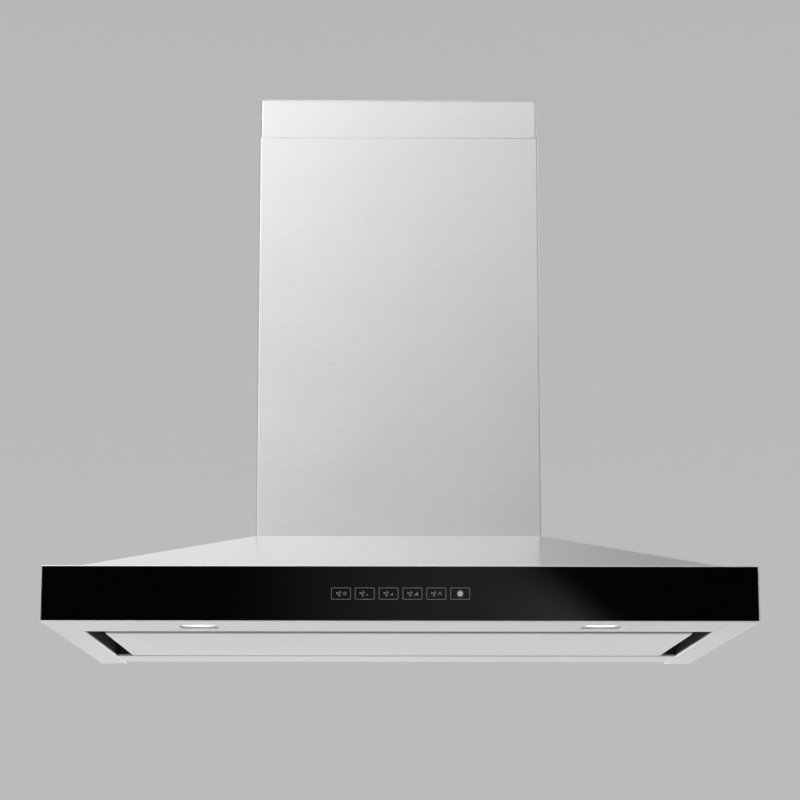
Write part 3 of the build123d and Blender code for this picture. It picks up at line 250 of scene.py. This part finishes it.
class Graph:
    """Shader graph of one material, with short calls for the nodes used here."""

    def __init__(self, name, **constants):
        self.material = bpy.data.materials.new(name)
        self.material.use_nodes = True
        self.nodes = self.material.node_tree.nodes
        self.links = self.material.node_tree.links
        self.shader = self.nodes["Principled BSDF"]
        for socket, value in constants.items():
            self.shader.inputs[socket.replace("_", " ")].default_value = value
        coords = self.nodes.new("ShaderNodeTexCoord")
        self.place = coords.outputs["Object"]
        self.normal = coords.outputs["Normal"]

    def feed(self, value, socket):
        """Links an output to a socket, or sets the socket to a number."""
        if isinstance(value, bpy.types.NodeSocket):
            self.links.new(value, socket)
        else:
            socket.default_value = value

    def calc(self, operation, a, b=0.0, clamp=False):
        node = self.nodes.new("ShaderNodeMath")
        node.operation = operation
        node.use_clamp = clamp
        self.feed(a, node.inputs[0])
        self.feed(b, node.inputs[1])
        return node.outputs[0]

    def split(self, vector):
        node = self.nodes.new("ShaderNodeSeparateXYZ")
        self.feed(vector, node.inputs[0])
        return node.outputs

    def join(self, x, y, z):
        node = self.nodes.new("ShaderNodeCombineXYZ")
        for value, socket in zip((x, y, z), node.inputs):
            self.feed(value, socket)
        return node.outputs[0]

    def noise(self, vector, scale, detail=2.0, roughness=0.5):
        node = self.nodes.new("ShaderNodeTexNoise")
        self.feed(vector, node.inputs["Vector"])
        node.inputs["Scale"].default_value = scale
        node.inputs["Detail"].default_value = detail
        node.inputs["Roughness"].default_value = roughness
        return node.outputs["Fac"]

    def cells(self, vector, scale, output="Distance"):
        node = self.nodes.new("ShaderNodeTexVoronoi")
        self.feed(vector, node.inputs["Vector"])
        node.inputs["Scale"].default_value = scale
        return node.outputs[output]

    def remap(self, value, low, high, to_low=0.0, to_high=1.0):
        node = self.nodes.new("ShaderNodeMapRange")
        self.feed(value, node.inputs["Value"])
        for name, number in (("From Min", low), ("From Max", high), ("To Min", to_low), ("To Max", to_high)):
            node.inputs[name].default_value = number
        return node.outputs[0]

    def blend(self, factor, a, b):
        """Colour between a and b."""
        node = self.nodes.new("ShaderNodeMix")
        node.data_type = "RGBA"
        self.feed(factor, node.inputs["Factor"])
        for value, socket in ((a, node.inputs[6]), (b, node.inputs[7])):
            self.feed(value if isinstance(value, bpy.types.NodeSocket) else (*value, 1.0), socket)
        return node.outputs[2]

    def shade(self, color, amount):
        """Colour made lighter or darker by a varying amount about 1."""
        low = tuple(c * 0.5 for c in color)
        high = tuple(min(1.0, c * 1.5) for c in color)
        return self.blend(self.calc("SUBTRACT", amount, 0.5, clamp=True), low, high)

    def bump(self, height, strength, distance):
        node = self.nodes.new("ShaderNodeBump")
        node.inputs["Strength"].default_value = strength
        node.inputs["Distance"].default_value = distance
        self.feed(height, node.inputs["Height"])
        self.links.new(node.outputs[0], self.shader.inputs["Normal"])

    def turn_grain(self, direction):
        """Sets the direction of the anisotropic highlight, given in the object's own axes."""
        node = self.nodes.new("ShaderNodeVectorTransform")
        node.vector_type = "VECTOR"
        node.convert_from, node.convert_to = "OBJECT", "WORLD"
        self.links.new(direction, node.inputs[0])
        self.links.new(node.outputs[0], self.shader.inputs["Tangent"])

    def set(self, socket, value):
        self.feed(value, self.shader.inputs[socket])


def around(graph, value, span, middle=0.0):
    """A 0 to 1 texture turned into middle plus or minus half of span."""
    return graph.calc("ADD", graph.calc("MULTIPLY", graph.calc("SUBTRACT", value, 0.5), span), middle)


def varied(graph, middle, first, second):
    """A middle value that two textures move up and down, each given with its span."""
    return graph.calc("ADD", around(graph, *first, middle), around(graph, *second))


# Layers of the brushed grain: repeats per metre along and across it, layer, detail, roughness.
GRAIN_FINE = (42.0, 900.0, 0.0, 3.0, 0.6)
GRAIN_HAIR = (90.0, 3200.0, 4.0, 2.0, 0.5)
GRAIN_BAND = (5.0, 170.0, 9.0, 2.0, 0.5)
FINE_SHARE, HAIR_SHARE, BAND_SHARE = 0.62, 0.24, 0.14
FLAT_FROM = 0.985  # upright part of the normal above which a face counts as flat


def grain(graph, u, v, along, across, layer, detail, roughness):
    """Noise drawn out along u."""
    place = graph.join(graph.calc("MULTIPLY", u, along), graph.calc("MULTIPLY", v, across), layer)
    return graph.noise(place, 1.0, detail, roughness)


def brushed_steel(name, color, across=1.0, flat_along="X", roughness=0.36, contrast=0.28):
    """Brushed sheet. The grain is level on upright and sloping faces, and follows one axis on flat ones."""
    graph = Graph(name, Metallic=1.0, Anisotropic=0.55)
    x, y, z = graph.split(graph.place)
    up = graph.calc("ABSOLUTE", graph.split(graph.normal)[2])
    flat = graph.calc("GREATER_THAN", up, FLAT_FROM)
    upright = graph.calc("SUBTRACT", 1.0, flat)
    flat_across = graph.calc("MULTIPLY", flat, y if flat_along == "X" else x)
    steep_across = graph.calc("MULTIPLY", graph.calc("MULTIPLY", upright, z), across)
    v = graph.calc("ADD", flat_across, steep_across)
    u = graph.calc("ADD", x, y)
    fine = grain(graph, u, v, *GRAIN_FINE)
    hair = graph.calc("MULTIPLY", grain(graph, u, v, *GRAIN_HAIR), HAIR_SHARE)
    band = graph.calc("MULTIPLY", grain(graph, u, v, *GRAIN_BAND), BAND_SHARE)
    streak = graph.calc("ADD", graph.calc("MULTIPLY", fine, FINE_SHARE), graph.calc("ADD", hair, band))
    cloud = graph.noise(graph.place, 7.0, 3.0, 0.55)
    graph.set("Base Color", graph.shade(color, varied(graph, 1.0, (streak, contrast), (cloud, 0.03))))
    graph.set("Roughness", varied(graph, roughness, (streak, 0.16), (cloud, 0.06)))
    graph.bump(fine, 0.12, 0.00004)
    graph.turn_grain(graph.join(0.0, flat, upright))
    return graph.material


def galvanised(name, color=(0.50, 0.52, 0.535)):
    """Zinc-coated sheet with a spangle of dull and bright crystals."""
    graph = Graph(name, Metallic=1.0)
    warp = graph.noise(graph.place, 60.0, 2.0)
    x, y, z = graph.split(graph.place)
    bent_x = graph.calc("ADD", x, graph.calc("MULTIPLY", warp, 0.006))
    bent_z = graph.calc("ADD", z, graph.calc("MULTIPLY", warp, 0.004))
    crystal = graph.split(graph.cells(graph.join(bent_x, y, bent_z), 95.0, output="Color"))[0]
    frost = graph.noise(graph.place, 420.0, 3.0, 0.6)
    graph.set("Base Color", graph.shade(color, varied(graph, 1.0, (crystal, 0.24), (frost, 0.08))))
    graph.set("Roughness", varied(graph, 0.42, (crystal, 0.20), (frost, 0.10)))
    graph.bump(frost, 0.25, 0.00005)
    return graph.material


def turned_steel(name, color=(0.60, 0.60, 0.61), roughness=0.26):
    """Plain machined or pressed steel with fine tool marks and a little wear."""
    graph = Graph(name, Metallic=1.0)
    marks = graph.noise(graph.place, 1500.0, 3.0, 0.6)
    scuffs = graph.noise(graph.place, 90.0, 3.0, 0.6)
    graph.set("Base Color", graph.shade(color, varied(graph, 1.0, (marks, 0.16), (scuffs, 0.18))))
    graph.set("Roughness", varied(graph, roughness, (marks, 0.14), (scuffs, 0.16)))
    graph.bump(marks, 0.3, 0.00003)
    return graph.material


def black_glass(name):
    """Polished black glass with the faintest film of handling marks."""
    graph = Graph(name, IOR=1.5, Base_Color=(0.0012, 0.0012, 0.0014, 1.0))
    film = graph.noise(graph.place, 14.0, 4.0, 0.55)
    dust = graph.noise(graph.place, 900.0, 2.0, 0.5)
    graph.set("Roughness", varied(graph, 0.035, (film, 0.03), (dust, 0.008)))
    graph.bump(graph.noise(graph.place, 5.0, 1.0), 0.03, 0.0004)
    return graph.material


def moulded(name, color, roughness=0.48, grain=1400.0, depth=0.00006):
    """Moulded plastic or rubber with an even spark-eroded grain."""
    graph = Graph(name, IOR=1.48)
    speckle = graph.cells(graph.place, grain)
    cloud = graph.noise(graph.place, 30.0, 3.0, 0.55)
    graph.set("Base Color", graph.shade(color, varied(graph, 1.0, (speckle, 0.14), (cloud, 0.16))))
    graph.set("Roughness", varied(graph, roughness, (speckle, 0.14), (cloud, 0.12)))
    graph.bump(speckle, 0.5, depth)
    return graph.material


def foam(name, color=(0.02, 0.02, 0.02)):
    """Black foam tape with open pores."""
    graph = Graph(name, IOR=1.45)
    pores = graph.cells(graph.place, 900.0)
    graph.set("Base Color", graph.shade(color, graph.remap(pores, 0.0, 0.7, 0.6, 1.3)))
    graph.set("Roughness", around(graph, pores, 0.12, 0.86))
    graph.bump(pores, 0.8, 0.0004)
    return graph.material


def circuit_board(name):
    """Green solder mask with copper tracks under it and tinned pads."""
    graph = Graph(name, IOR=1.5)
    x, y, z = graph.split(graph.place)
    u = graph.calc("ADD", x, y)
    grid = graph.nodes.new("ShaderNodeTexBrick")
    graph.links.new(graph.join(u, z, 0.0), grid.inputs["Vector"])
    grid.inputs["Scale"].default_value = 120.0
    grid.inputs["Mortar Size"].default_value = 0.035
    tracks = grid.outputs["Fac"]
    pads = graph.calc("LESS_THAN", graph.cells(graph.place, 260.0), 0.22)
    mask = graph.blend(tracks, (0.012, 0.085, 0.035), (0.030, 0.170, 0.070))
    graph.set("Base Color", graph.blend(pads, mask, (0.62, 0.60, 0.55)))
    graph.set("Metallic", pads)
    graph.set("Roughness", graph.calc("ADD", graph.calc("MULTIPLY", tracks, 0.08), 0.30))
    graph.bump(tracks, 0.4, 0.00004)
    return graph.material


def ferrite(name, color=(0.045, 0.045, 0.05)):
    """Sintered ferrite: dark, matt, grainy."""
    graph = Graph(name, Metallic=0.3)
    grain = graph.noise(graph.place, 1800.0, 4.0, 0.7)
    graph.set("Base Color", graph.shade(color, around(graph, grain, 0.6, 1.0)))
    graph.set("Roughness", around(graph, grain, 0.2, 0.62))
    graph.bump(grain, 0.5, 0.00008)
    return graph.material


def cast_metal(name, color=(0.30, 0.31, 0.32)):
    """Die-cast aluminium: orange-peel skin, satin."""
    graph = Graph(name, Metallic=0.9)
    peel = graph.noise(graph.place, 420.0, 3.0, 0.5)
    cloud = graph.noise(graph.place, 35.0, 3.0, 0.5)
    graph.set("Base Color", graph.shade(color, varied(graph, 1.0, (peel, 0.2), (cloud, 0.2))))
    graph.set("Roughness", varied(graph, 0.46, (peel, 0.16), (cloud, 0.1)))
    graph.bump(peel, 0.5, 0.00012)
    return graph.material


def satin_aluminium(name, color=(0.72, 0.73, 0.74)):
    """Rolled aluminium with faint rolling lines."""
    graph = Graph(name, Metallic=1.0)
    x, y, z = graph.split(graph.place)
    drawn = [graph.calc("MULTIPLY", place, repeats) for place, repeats in ((x, 20.0), (y, 700.0), (z, 300.0))]
    lines = graph.noise(graph.join(*drawn), 1.0, 2.0)
    cloud = graph.noise(graph.place, 24.0, 3.0)
    graph.set("Base Color", graph.shade(color, varied(graph, 1.0, (lines, 0.12), (cloud, 0.08))))
    graph.set("Roughness", varied(graph, 0.34, (lines, 0.12), (cloud, 0.12)))
    graph.bump(lines, 0.3, 0.00005)
    return graph.material


LENS_STRETCH = 0.80  # how much the bright middle is drawn out along X
LENS_HOT = 0.002  # radius of the full glow
LENS_COOL = 0.019  # radius at which it has fallen to the rim's
LENS_RIM_GLOW = 0.20


def lit_diffuser(name, centre, strength):
    """Frosted lens over a lit board: a bright middle that falls off to the rim. Both lamps share it."""
    graph = Graph(name, IOR=1.49, Roughness=0.35)
    x, y, _ = graph.split(graph.place)
    away_x = graph.calc("MULTIPLY", graph.calc("SUBTRACT", graph.calc("ABSOLUTE", x), centre.x), LENS_STRETCH)
    away_y = graph.calc("SUBTRACT", y, centre.y)
    squares = [graph.calc("POWER", graph.calc("ABSOLUTE", away), 2.0) for away in (away_x, away_y)]
    away = graph.calc("SQRT", graph.calc("ADD", *squares))
    glow = graph.remap(away, LENS_HOT, LENS_COOL, strength, LENS_RIM_GLOW)
    prisms = graph.cells(graph.place, 420.0)
    graph.set("Base Color", graph.shade((0.16, 0.16, 0.155), around(graph, prisms, 0.2, 1.0)))
    graph.shader.inputs["Emission Color"].default_value = (1.0, 0.985, 0.95, 1.0)
    graph.set("Emission Strength", graph.calc("MULTIPLY", glow, around(graph, prisms, 0.2, 1.0)))
    graph.bump(prisms, 0.4, 0.0002)
    return graph.material


def printed(name, color, strength):
    """Ink on the glass, lit faintly from behind, with slight unevenness."""
    graph = Graph(name, IOR=1.5, Roughness=0.4)
    flecks = graph.noise(graph.place, 2600.0, 3.0, 0.6)
    graph.set("Base Color", graph.shade(color, around(graph, flecks, 0.3, 1.0)))
    graph.shader.inputs["Emission Color"].default_value = (1.0, 1.0, 1.0, 1.0)
    graph.set("Emission Strength", around(graph, flecks, strength * 0.3, strength))
    return graph.material


def matt_paint(name, color):
    """Studio floor: matt, very slightly uneven."""
    graph = Graph(name, IOR=1.4)
    cloud = graph.noise(graph.place, 0.8, 3.0)
    graph.set("Base Color", graph.shade(color, around(graph, cloud, 0.02, 1.0)))
    graph.set("Roughness", around(graph, cloud, 0.1, 0.85))
    return graph.material


STEEL = (0.69, 0.685, 0.675)
lens_low, lens_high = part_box("lamp_lens_right")
lens_centre = (lens_low + lens_high) / 2

looks = {
    "steel": brushed_steel("brushed_steel", STEEL),
    "steel_side": brushed_steel("brushed_steel_side", STEEL, flat_along="Y"),
    "steel_hem": turned_steel("rolled_edge", (0.72, 0.715, 0.705), 0.30),
    "steel_slope": brushed_steel("brushed_steel_slope", STEEL, across=2.8),
    "zinc": galvanised("zinc_sheet"),
    # Painted shade: a near-black sheet inside the suction cavity, so the gaps round the panel show as dark
    "painted_shade_interior": moulded("black_coating", (0.009, 0.009, 0.010), 0.78, 1100.0, 0.00005),
    "screw": turned_steel("turned_steel"),
    "latch": turned_steel("pressed_steel", (0.56, 0.56, 0.57), 0.32),
    "glass": black_glass("black_glass"),
    "gasket": foam("foam_tape"),
    "plastic": moulded("black_plastic", (0.022, 0.022, 0.024)),
    "damper": moulded("grey_plastic", (0.17, 0.17, 0.18)),
    "board": circuit_board("circuit_board"),
    "lens": lit_diffuser("lamp_diffuser", lens_centre, 3.2),
    "filter": satin_aluminium("satin_aluminium"),
    "mesh": satin_aluminium("mesh_aluminium", (0.62, 0.63, 0.64)),
    "magnet": ferrite("ferrite"),
    "motor": cast_metal("cast_metal"),
    "cable": moulded("cable_jacket", (0.06, 0.06, 0.065), 0.42, 2200.0, 0.00003),
    "ink_dim": printed("key_print_dim", (0.16, 0.165, 0.17), 0.055),
    "ink_lit": printed("key_print_lit", (0.85, 0.85, 0.85), 0.75),
    "floor": matt_paint("studio_floor", (0.78, 0.78, 0.77)),
}

LOOK_OF_NODE = {
    "steel": ["upper_chimney_front", "upper_chimney_rear", "lower_chimney_front", "lower_chimney_rear",
              "front_housing", "rear_panel", "rear_rail", "suction_panel", "lamp_housing_right",
              "lamp_housing_left"],
    "steel_side": ["right_side_panel", "left_side_panel"],
    "steel_slope": ["canopy_slopes"],
    "zinc": ["ceiling_plate", "upper_uprights", "lower_uprights", "frame_ring", "canopy_neck", "scroll_shell",
             "scroll_front_plate", "scroll_rear_plate", "motor_bracket", "blower_rails", "outlet_adapter",
             "duct_collar", "control_box", "control_box_lid", "junction_box", "junction_box_cover",
             "impeller"],
    "screw": ["upper_cover_screws", "lower_cover_screws", "frame_clamp_bolts", "motor_shaft",
              "damper_spindle", "panel_hinge_pins"],
    "latch": ["filter_latch_right", "filter_latch_left", "panel_hinge_brackets"],
    # Painted shade: the tray, keepers and panel backing are near-black to darken the gaps round the panel
    "painted_shade_interior": ["filter_tray", "filter_keepers", "panel_backing"],
    "glass": ["glass_panel"],
    "gasket": ["glass_gasket"],
    "plastic": ["touch_key_carrier", "motor_capacitor"],
    "damper": ["damper_flap_right", "damper_flap_left"],
    "board": ["touch_key_board", "led_boards", "control_board"],
    "lens": ["lamp_lens_right", "lamp_lens_left"],
    "filter": ["filter_frame_right", "filter_frame_left"],
    "mesh": ["filter_mesh_right", "filter_mesh_left"],
    "magnet": ["panel_catch_magnets"],
    "motor": ["motor_body"],
    "cable": ["internal_wiring"],
}


def wear(obj, look):
    """Gives every material slot of an object the same look."""
    data = obj.data
    if not data.materials:
        data.materials.append(looks[look])
    for index in range(len(data.materials)):
        data.materials[index] = looks[look]


WELD_REACH = 0.00001
BEVEL_STEPS = 3
BEVEL_ANGLE = math.radians(40)  # sharper edges than this are rounded
EDGE_RADIUS = {
    "front_housing": 0.0007,
    "right_side_panel": 0.0004,
    "left_side_panel": 0.0004,
    "rear_panel": 0.0004,
    "suction_panel": 0.0003,
    "lamp_housing_right": 0.0004,
    "lamp_housing_left": 0.0004,
}


def soften(name, radius):
    """Rounds a CAD node's sharp edges with modifiers, so that they catch the light."""
    weld = nodes[name].modifiers.new("weld", "WELD")
    weld.merge_threshold = WELD_REACH
    bevel = nodes[name].modifiers.new("bevel", "BEVEL")
    bevel.width = radius
    bevel.segments = BEVEL_STEPS
    bevel.limit_method = "ANGLE"
    bevel.angle_limit = BEVEL_ANGLE
    bevel.use_clamp_overlap = True


floor.data.materials.append(looks["floor"])
dressed = set()
for look, names in LOOK_OF_NODE.items():
    for name in names:
        wear(nodes[name], look)
        dressed.add(name)
undressed = sorted(set(nodes) - dressed)
if undressed:
    raise RuntimeError(f"no look for {undressed}")
for name, radius in EDGE_RADIUS.items():
    soften(name, radius)

# ---- Pieces made here ------------------------------------------------------------------------------


def new_piece(name, bm, look, body):
    """Turns a bmesh in the frame's own coordinates into a piece that rides on a body."""
    mesh = bpy.data.meshes.new(name)
    bm.normal_update()
    bm.to_mesh(mesh)
    bm.free()
    piece = bpy.data.objects.new(name, mesh)
    bpy.context.scene.collection.objects.link(piece)
    mesh.materials.append(looks[look])
    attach(piece, body)
    return piece


def slab(bm, outline, base_y, front_y):
    """Closed slab whose outline lies in the XZ plane, from base_y forward to front_y."""
    back = [bm.verts.new((x, base_y, z)) for x, z in outline]
    front = [bm.verts.new((x, front_y, z)) for x, z in outline]
    count = len(outline)
    bm.faces.new(front)
    bm.faces.new(back[::-1])
    for i in range(count):
        j = (i + 1) % count
        bm.faces.new((front[j], front[i], back[i], back[j]))


def ring_slab(bm, outer, inner, base_y, front_y):
    """Closed ring between two outlines with the same number of points, in the XZ plane."""
    loops = [[bm.verts.new((x, y, z)) for x, z in outline]
             for outline, y in ((outer, front_y), (inner, front_y), (inner, base_y), (outer, base_y))]
    count = len(outer)
    for i in range(count):
        j = (i + 1) % count
        for a, b in zip(loops, loops[1:] + loops[:1]):
            bm.faces.new((a[i], a[j], b[j], b[i]))


def rounded_box(x, z, half_x, half_z, radius, steps=6):
    """Outline of a rectangle with rounded corners."""
    points = []
    for sx, sz, start in ((1, 1, 0), (-1, 1, 90), (-1, -1, 180), (1, -1, 270)):
        for step in range(steps + 1):
            angle = math.radians(start + 90 * step / steps)
            points.append((x + sx * (half_x - radius) + radius * math.cos(angle),
                           z + sz * (half_z - radius) + radius * math.sin(angle)))
    return points


def circle(x, z, radius, steps=32):
    turns = [2 * math.pi * i / steps for i in range(steps)]
    return [(x + radius * math.cos(turn), z + radius * math.sin(turn)) for turn in turns]


def stroke(start, end, width):
    """Outline of a straight printed line."""
    run = Vector((end[0] - start[0], end[1] - start[1]))
    side = Vector((-run.y, run.x)).normalized() * width / 2
    return [(start[0] - side.x, start[1] - side.y), (end[0] - side.x, end[1] - side.y),
            (end[0] + side.x, end[1] + side.y), (start[0] + side.x, start[1] + side.y)]


# Print on the glass: six touch keys in a row, each with an outline and a symbol.
KEY_COUNT = 6
KEY_PITCH = 0.0303
KEY_HALF_X = 0.01235
KEY_HALF_Z = 0.0075
KEY_RADIUS = 0.0012
LINE = 0.00045
INK = 0.00008

FAN_REACH = 0.0036
FAN_LEAVES = 3
FAN_HUB = 0.16  # share of the reach
LEAF_ROOT = 0.22  # share of the reach at which a leaf starts
LEAF_STEPS = 8
LEAF_SWINGS = ((0.0, 0.55), (0.28, 1.35))  # turn at the root and more turn to the tip, for each edge
FAN_ASIDE = 0.0032  # to the left of a key's middle, beside another sign
TIMER_FAN_ASIDE = 0.0025
CLOCK_ASIDE = 0.0048
ROUND_SIGN = 0.0021  # radius of the clock and of the lamp
HAND_LONG, HAND_SHORT = 0.62, 0.48  # shares of the clock's radius
HAND_LINE = 0.9 * LINE
BAR_PLACE = (0.0024, -0.0024)  # first bar's left lower corner, from the key's middle
BAR_PITCH = 0.00175
BAR_WIDTH = 0.0010
BAR_LOW = 0.0016
BAR_RISE = 0.0014
CHEVRON_ASIDE = 0.0022
CHEVRON_HALF = 0.0022
CHEVRON_TALL = 0.0020
CHEVRON_LOW = -0.0020
LAMP_LINE = 1.2 * LINE
LAMP_RAYS = 8
RAY_NEAR, RAY_FAR = 1.35, 1.95  # shares of the lamp's radius

glass_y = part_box("glass_panel")[0].y
key_low, key_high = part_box("touch_key_board")
key_z = (key_low.z + key_high.z) / 2
print_span = (glass_y, glass_y - INK)


def fan_leaf(x, z, turn):
    """One leaf of a fan symbol: out along its first edge and back along its second."""
    points = []
    shares = [step / LEAF_STEPS for step in range(LEAF_STEPS + 1)]
    for (root, more), run in zip(LEAF_SWINGS, (shares, shares[::-1])):
        for share in run:
            radius = FAN_REACH * (LEAF_ROOT + (1 - LEAF_ROOT) * share)
            swing = turn + root + more * share
            points.append((x + radius * math.cos(swing), z + radius * math.sin(swing)))
    return points


def fan_symbol(bm, x, z):
    for leaf in range(FAN_LEAVES):
        slab(bm, fan_leaf(x, z, 2 * math.pi * leaf / FAN_LEAVES), *print_span)
    slab(bm, circle(x, z, FAN_HUB * FAN_REACH, 16), *print_span)


def bars(bm, x, z, count):
    """Rising bars that show a fan speed."""
    for index in range(count):
        left = x + index * BAR_PITCH
        right = left + BAR_WIDTH
        top = z + BAR_LOW + BAR_RISE * index
        slab(bm, [(left, z), (right, z), (right, top), (left, top)], *print_span)


def clock_symbol(bm, x, z):
    ring_slab(bm, circle(x, z, ROUND_SIGN), circle(x, z, ROUND_SIGN - LINE), *print_span)
    slab(bm, stroke((x, z), (x, z + ROUND_SIGN * HAND_LONG), HAND_LINE), *print_span)
    slab(bm, stroke((x, z), (x + ROUND_SIGN * HAND_SHORT, z), HAND_LINE), *print_span)


def chevrons(bm, x, z):
    """Two chevrons, one above the other, for the boost speed."""
    middle, right = x + CHEVRON_HALF, x + 2 * CHEVRON_HALF
    for step in range(2):
        base = z + CHEVRON_LOW + step * CHEVRON_HALF
        slab(bm, stroke((x, base), (middle, base + CHEVRON_TALL), LINE), *print_span)
        slab(bm, stroke((middle, base + CHEVRON_TALL), (right, base), LINE), *print_span)


def lamp_symbol(bm, x, z):
    ring_slab(bm, circle(x, z, ROUND_SIGN), circle(x, z, ROUND_SIGN - LAMP_LINE), *print_span)
    near, far = ROUND_SIGN * RAY_NEAR, ROUND_SIGN * RAY_FAR
    for ray in range(LAMP_RAYS):
        turn = 2 * math.pi * ray / LAMP_RAYS
        start = (x + near * math.cos(turn), z + near * math.sin(turn))
        end = (x + far * math.cos(turn), z + far * math.sin(turn))
        slab(bm, stroke(start, end, LINE), *print_span)


def key_outline(bm, x):
    outer = rounded_box(x, key_z, KEY_HALF_X, KEY_HALF_Z, KEY_RADIUS)
    inner = rounded_box(x, key_z, KEY_HALF_X - LINE, KEY_HALF_Z - LINE, KEY_RADIUS - LINE)
    ring_slab(bm, outer, inner, *print_span)


def key_symbol(bm, index, x):
    """Timer on the first key, three speeds, boost, and the lamp on the last."""
    if index == 0:
        fan_symbol(bm, x - TIMER_FAN_ASIDE, key_z)
        clock_symbol(bm, x + CLOCK_ASIDE, key_z)
    elif index < KEY_COUNT - 2:
        fan_symbol(bm, x - FAN_ASIDE, key_z)
        bars(bm, x + BAR_PLACE[0], key_z + BAR_PLACE[1], index)
    elif index == KEY_COUNT - 2:
        fan_symbol(bm, x - FAN_ASIDE, key_z)
        chevrons(bm, x + CHEVRON_ASIDE, key_z)
    else:
        lamp_symbol(bm, x, key_z)


for index in range(KEY_COUNT):
    key_x = (index - (KEY_COUNT - 1) / 2) * KEY_PITCH
    outline = bmesh.new()
    key_outline(outline, key_x)
    new_piece(f"touch_key_outline_{index + 1}", outline, "ink_dim", "canopy")
    symbol = bmesh.new()
    key_symbol(symbol, index, key_x)
    ink = "ink_lit" if index == KEY_COUNT - 1 else "ink_dim"
    new_piece(f"touch_key_symbol_{index + 1}", symbol, ink, "canopy")

# Expanded aluminium mesh of the grease filters: layers of wavy strands.
MESH_PITCH_X, MESH_PITCH_Y = 0.0120, 0.0055
MESH_STRAND = 0.00055  # half the width of a strand
MESH_FLATNESS = 0.6
MESH_LAYERS = 3
MESH_FIRST, MESH_STEP = 0.16, 0.34  # heights of the layers, as shares of the pack's
MESH_SHIFT = 0.33  # of a wave, from layer to layer
MESH_EDGE = 0.75  # first strand, in pitches from the pack's edge
MESH_SWING = 0.52  # in pitches
MESH_LIFT = 0.00035
POINTS_PER_WAVE = 4


def strand_points(low, high, y, z, phase):
    """Middle line of one wavy strand."""
    left = low.x + MESH_STRAND
    length = high.x - low.x - 2 * MESH_STRAND
    steps = int(length / (MESH_PITCH_X / POINTS_PER_WAVE))
    points = []
    for step in range(steps + 1):
        x = left + length * step / steps
        wave = math.sin(2 * math.pi * ((x - low.x) / MESH_PITCH_X + phase))
        points.append(Vector((x, y + wave * MESH_PITCH_Y * MESH_SWING, z + MESH_LIFT * wave)))
    return points


def lay_strand(bm, points):
    """Diamond-shaped bar along a line of points."""
    section = ((-1, 0), (0, -MESH_FLATNESS), (1, 0), (0, MESH_FLATNESS))
    rings = [[bm.verts.new((p.x, p.y + dy * MESH_STRAND, p.z + dz * MESH_STRAND)) for dy, dz in section]
             for p in points]
    for before, after in zip(rings, rings[1:]):
        for k in range(len(section)):
            m = (k + 1) % len(section)
            bm.faces.new((before[k], before[m], after[m], after[k]))


def make_filter_pack(side):
    """Layers of expanded mesh that fill a grease filter's frame."""
    low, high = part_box(f"filter_mesh_{side}")
    rows = int((high.y - low.y) / MESH_PITCH_Y) - 1
    bm = bmesh.new()
    for layer in range(MESH_LAYERS):
        z = low.z + (high.z - low.z) * (MESH_FIRST + MESH_STEP * layer)
        for row in range(rows):
            y = low.y + MESH_PITCH_Y * (row + MESH_EDGE)
            lay_strand(bm, strand_points(low, high, y, z, 0.5 * (row % 2) + MESH_SHIFT * layer))
    piece = new_piece(f"filter_mesh_pack_{side}", bm, "mesh", "canopy")
    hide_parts(f"filter_mesh_{side}")


for side in ("right", "left"):
    make_filter_pack(side)

# Rolled beads on the top edges of the chimney covers.
HEM_TALL = 0.0014
HEM_PROUD = 0.00045
HEM_ROOT = 0.0002  # how far a bead reaches into the cover
HEM_SEAM = 0.0006  # bead's end, from the seam between the two halves
COVER_BEND = 0.0025
ARC_STEPS = 8


def hem_path(low, high):
    """Points round one half of a cover, from seam to seam, each with its outward direction."""
    toward = -1 if low.y + high.y < 0 else 1
    reach_y, inner_y = (low.y, high.y) if toward < 0 else (high.y, low.y)
    seam_y = toward * HEM_SEAM + inner_y
    turns = [math.pi / 2 * step / ARC_STEPS for step in range(ARC_STEPS + 1)]
    left = [(-math.cos(turn), toward * math.sin(turn)) for turn in turns]
    right = [(math.sin(turn), toward * math.cos(turn)) for turn in turns]
    path = [(low.x, seam_y, -1.0, 0.0)]
    for corner_x, outs in ((low.x + COVER_BEND, left), (high.x - COVER_BEND, right)):
        for out_x, out_y in outs:
            y = reach_y - toward * COVER_BEND + COVER_BEND * out_y
            path.append((corner_x + COVER_BEND * out_x, y, out_x, out_y))
    path.append((high.x, seam_y, 1.0, 0.0))
    return path


def hem_profile(top_z):
    """Section of a bead: distances out from the cover, and heights."""
    profile = []
    for step in range(ARC_STEPS + 1):
        turn = math.pi * step / ARC_STEPS
        profile.append((HEM_PROUD * math.sin(turn), top_z - HEM_TALL / 2 * (1 - math.cos(turn))))
    return profile + [(-HEM_ROOT, top_z - HEM_TALL), (-HEM_ROOT, top_z)]


def make_hem(name, cover, body):
    """Rolled bead along the top edge of one half of a chimney cover."""
    low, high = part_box(cover)
    profile = hem_profile(high.z)
    bm = bmesh.new()
    rings = [[bm.verts.new((x + out_x * proud, y + out_y * proud, z)) for proud, z in profile]
             for x, y, out_x, out_y in hem_path(low, high)]
    for before, after in zip(rings, rings[1:]):
        for k in range(len(profile)):
            m = (k + 1) % len(profile)
            bm.faces.new((before[k], before[m], after[m], after[k]))
    bm.faces.new(rings[0])
    bm.faces.new(rings[-1][::-1])
    bmesh.ops.recalc_face_normals(bm, faces=bm.faces)
    for face in bm.faces:
        face.smooth = True
    new_piece(name, bm, "steel_hem", body)


for half in ("front", "rear"):
    make_hem(f"upper_cover_hem_{half}", f"upper_chimney_{half}", "ceiling_mount")
    make_hem(f"lower_cover_hem_{half}", f"lower_chimney_{half}", "canopy")
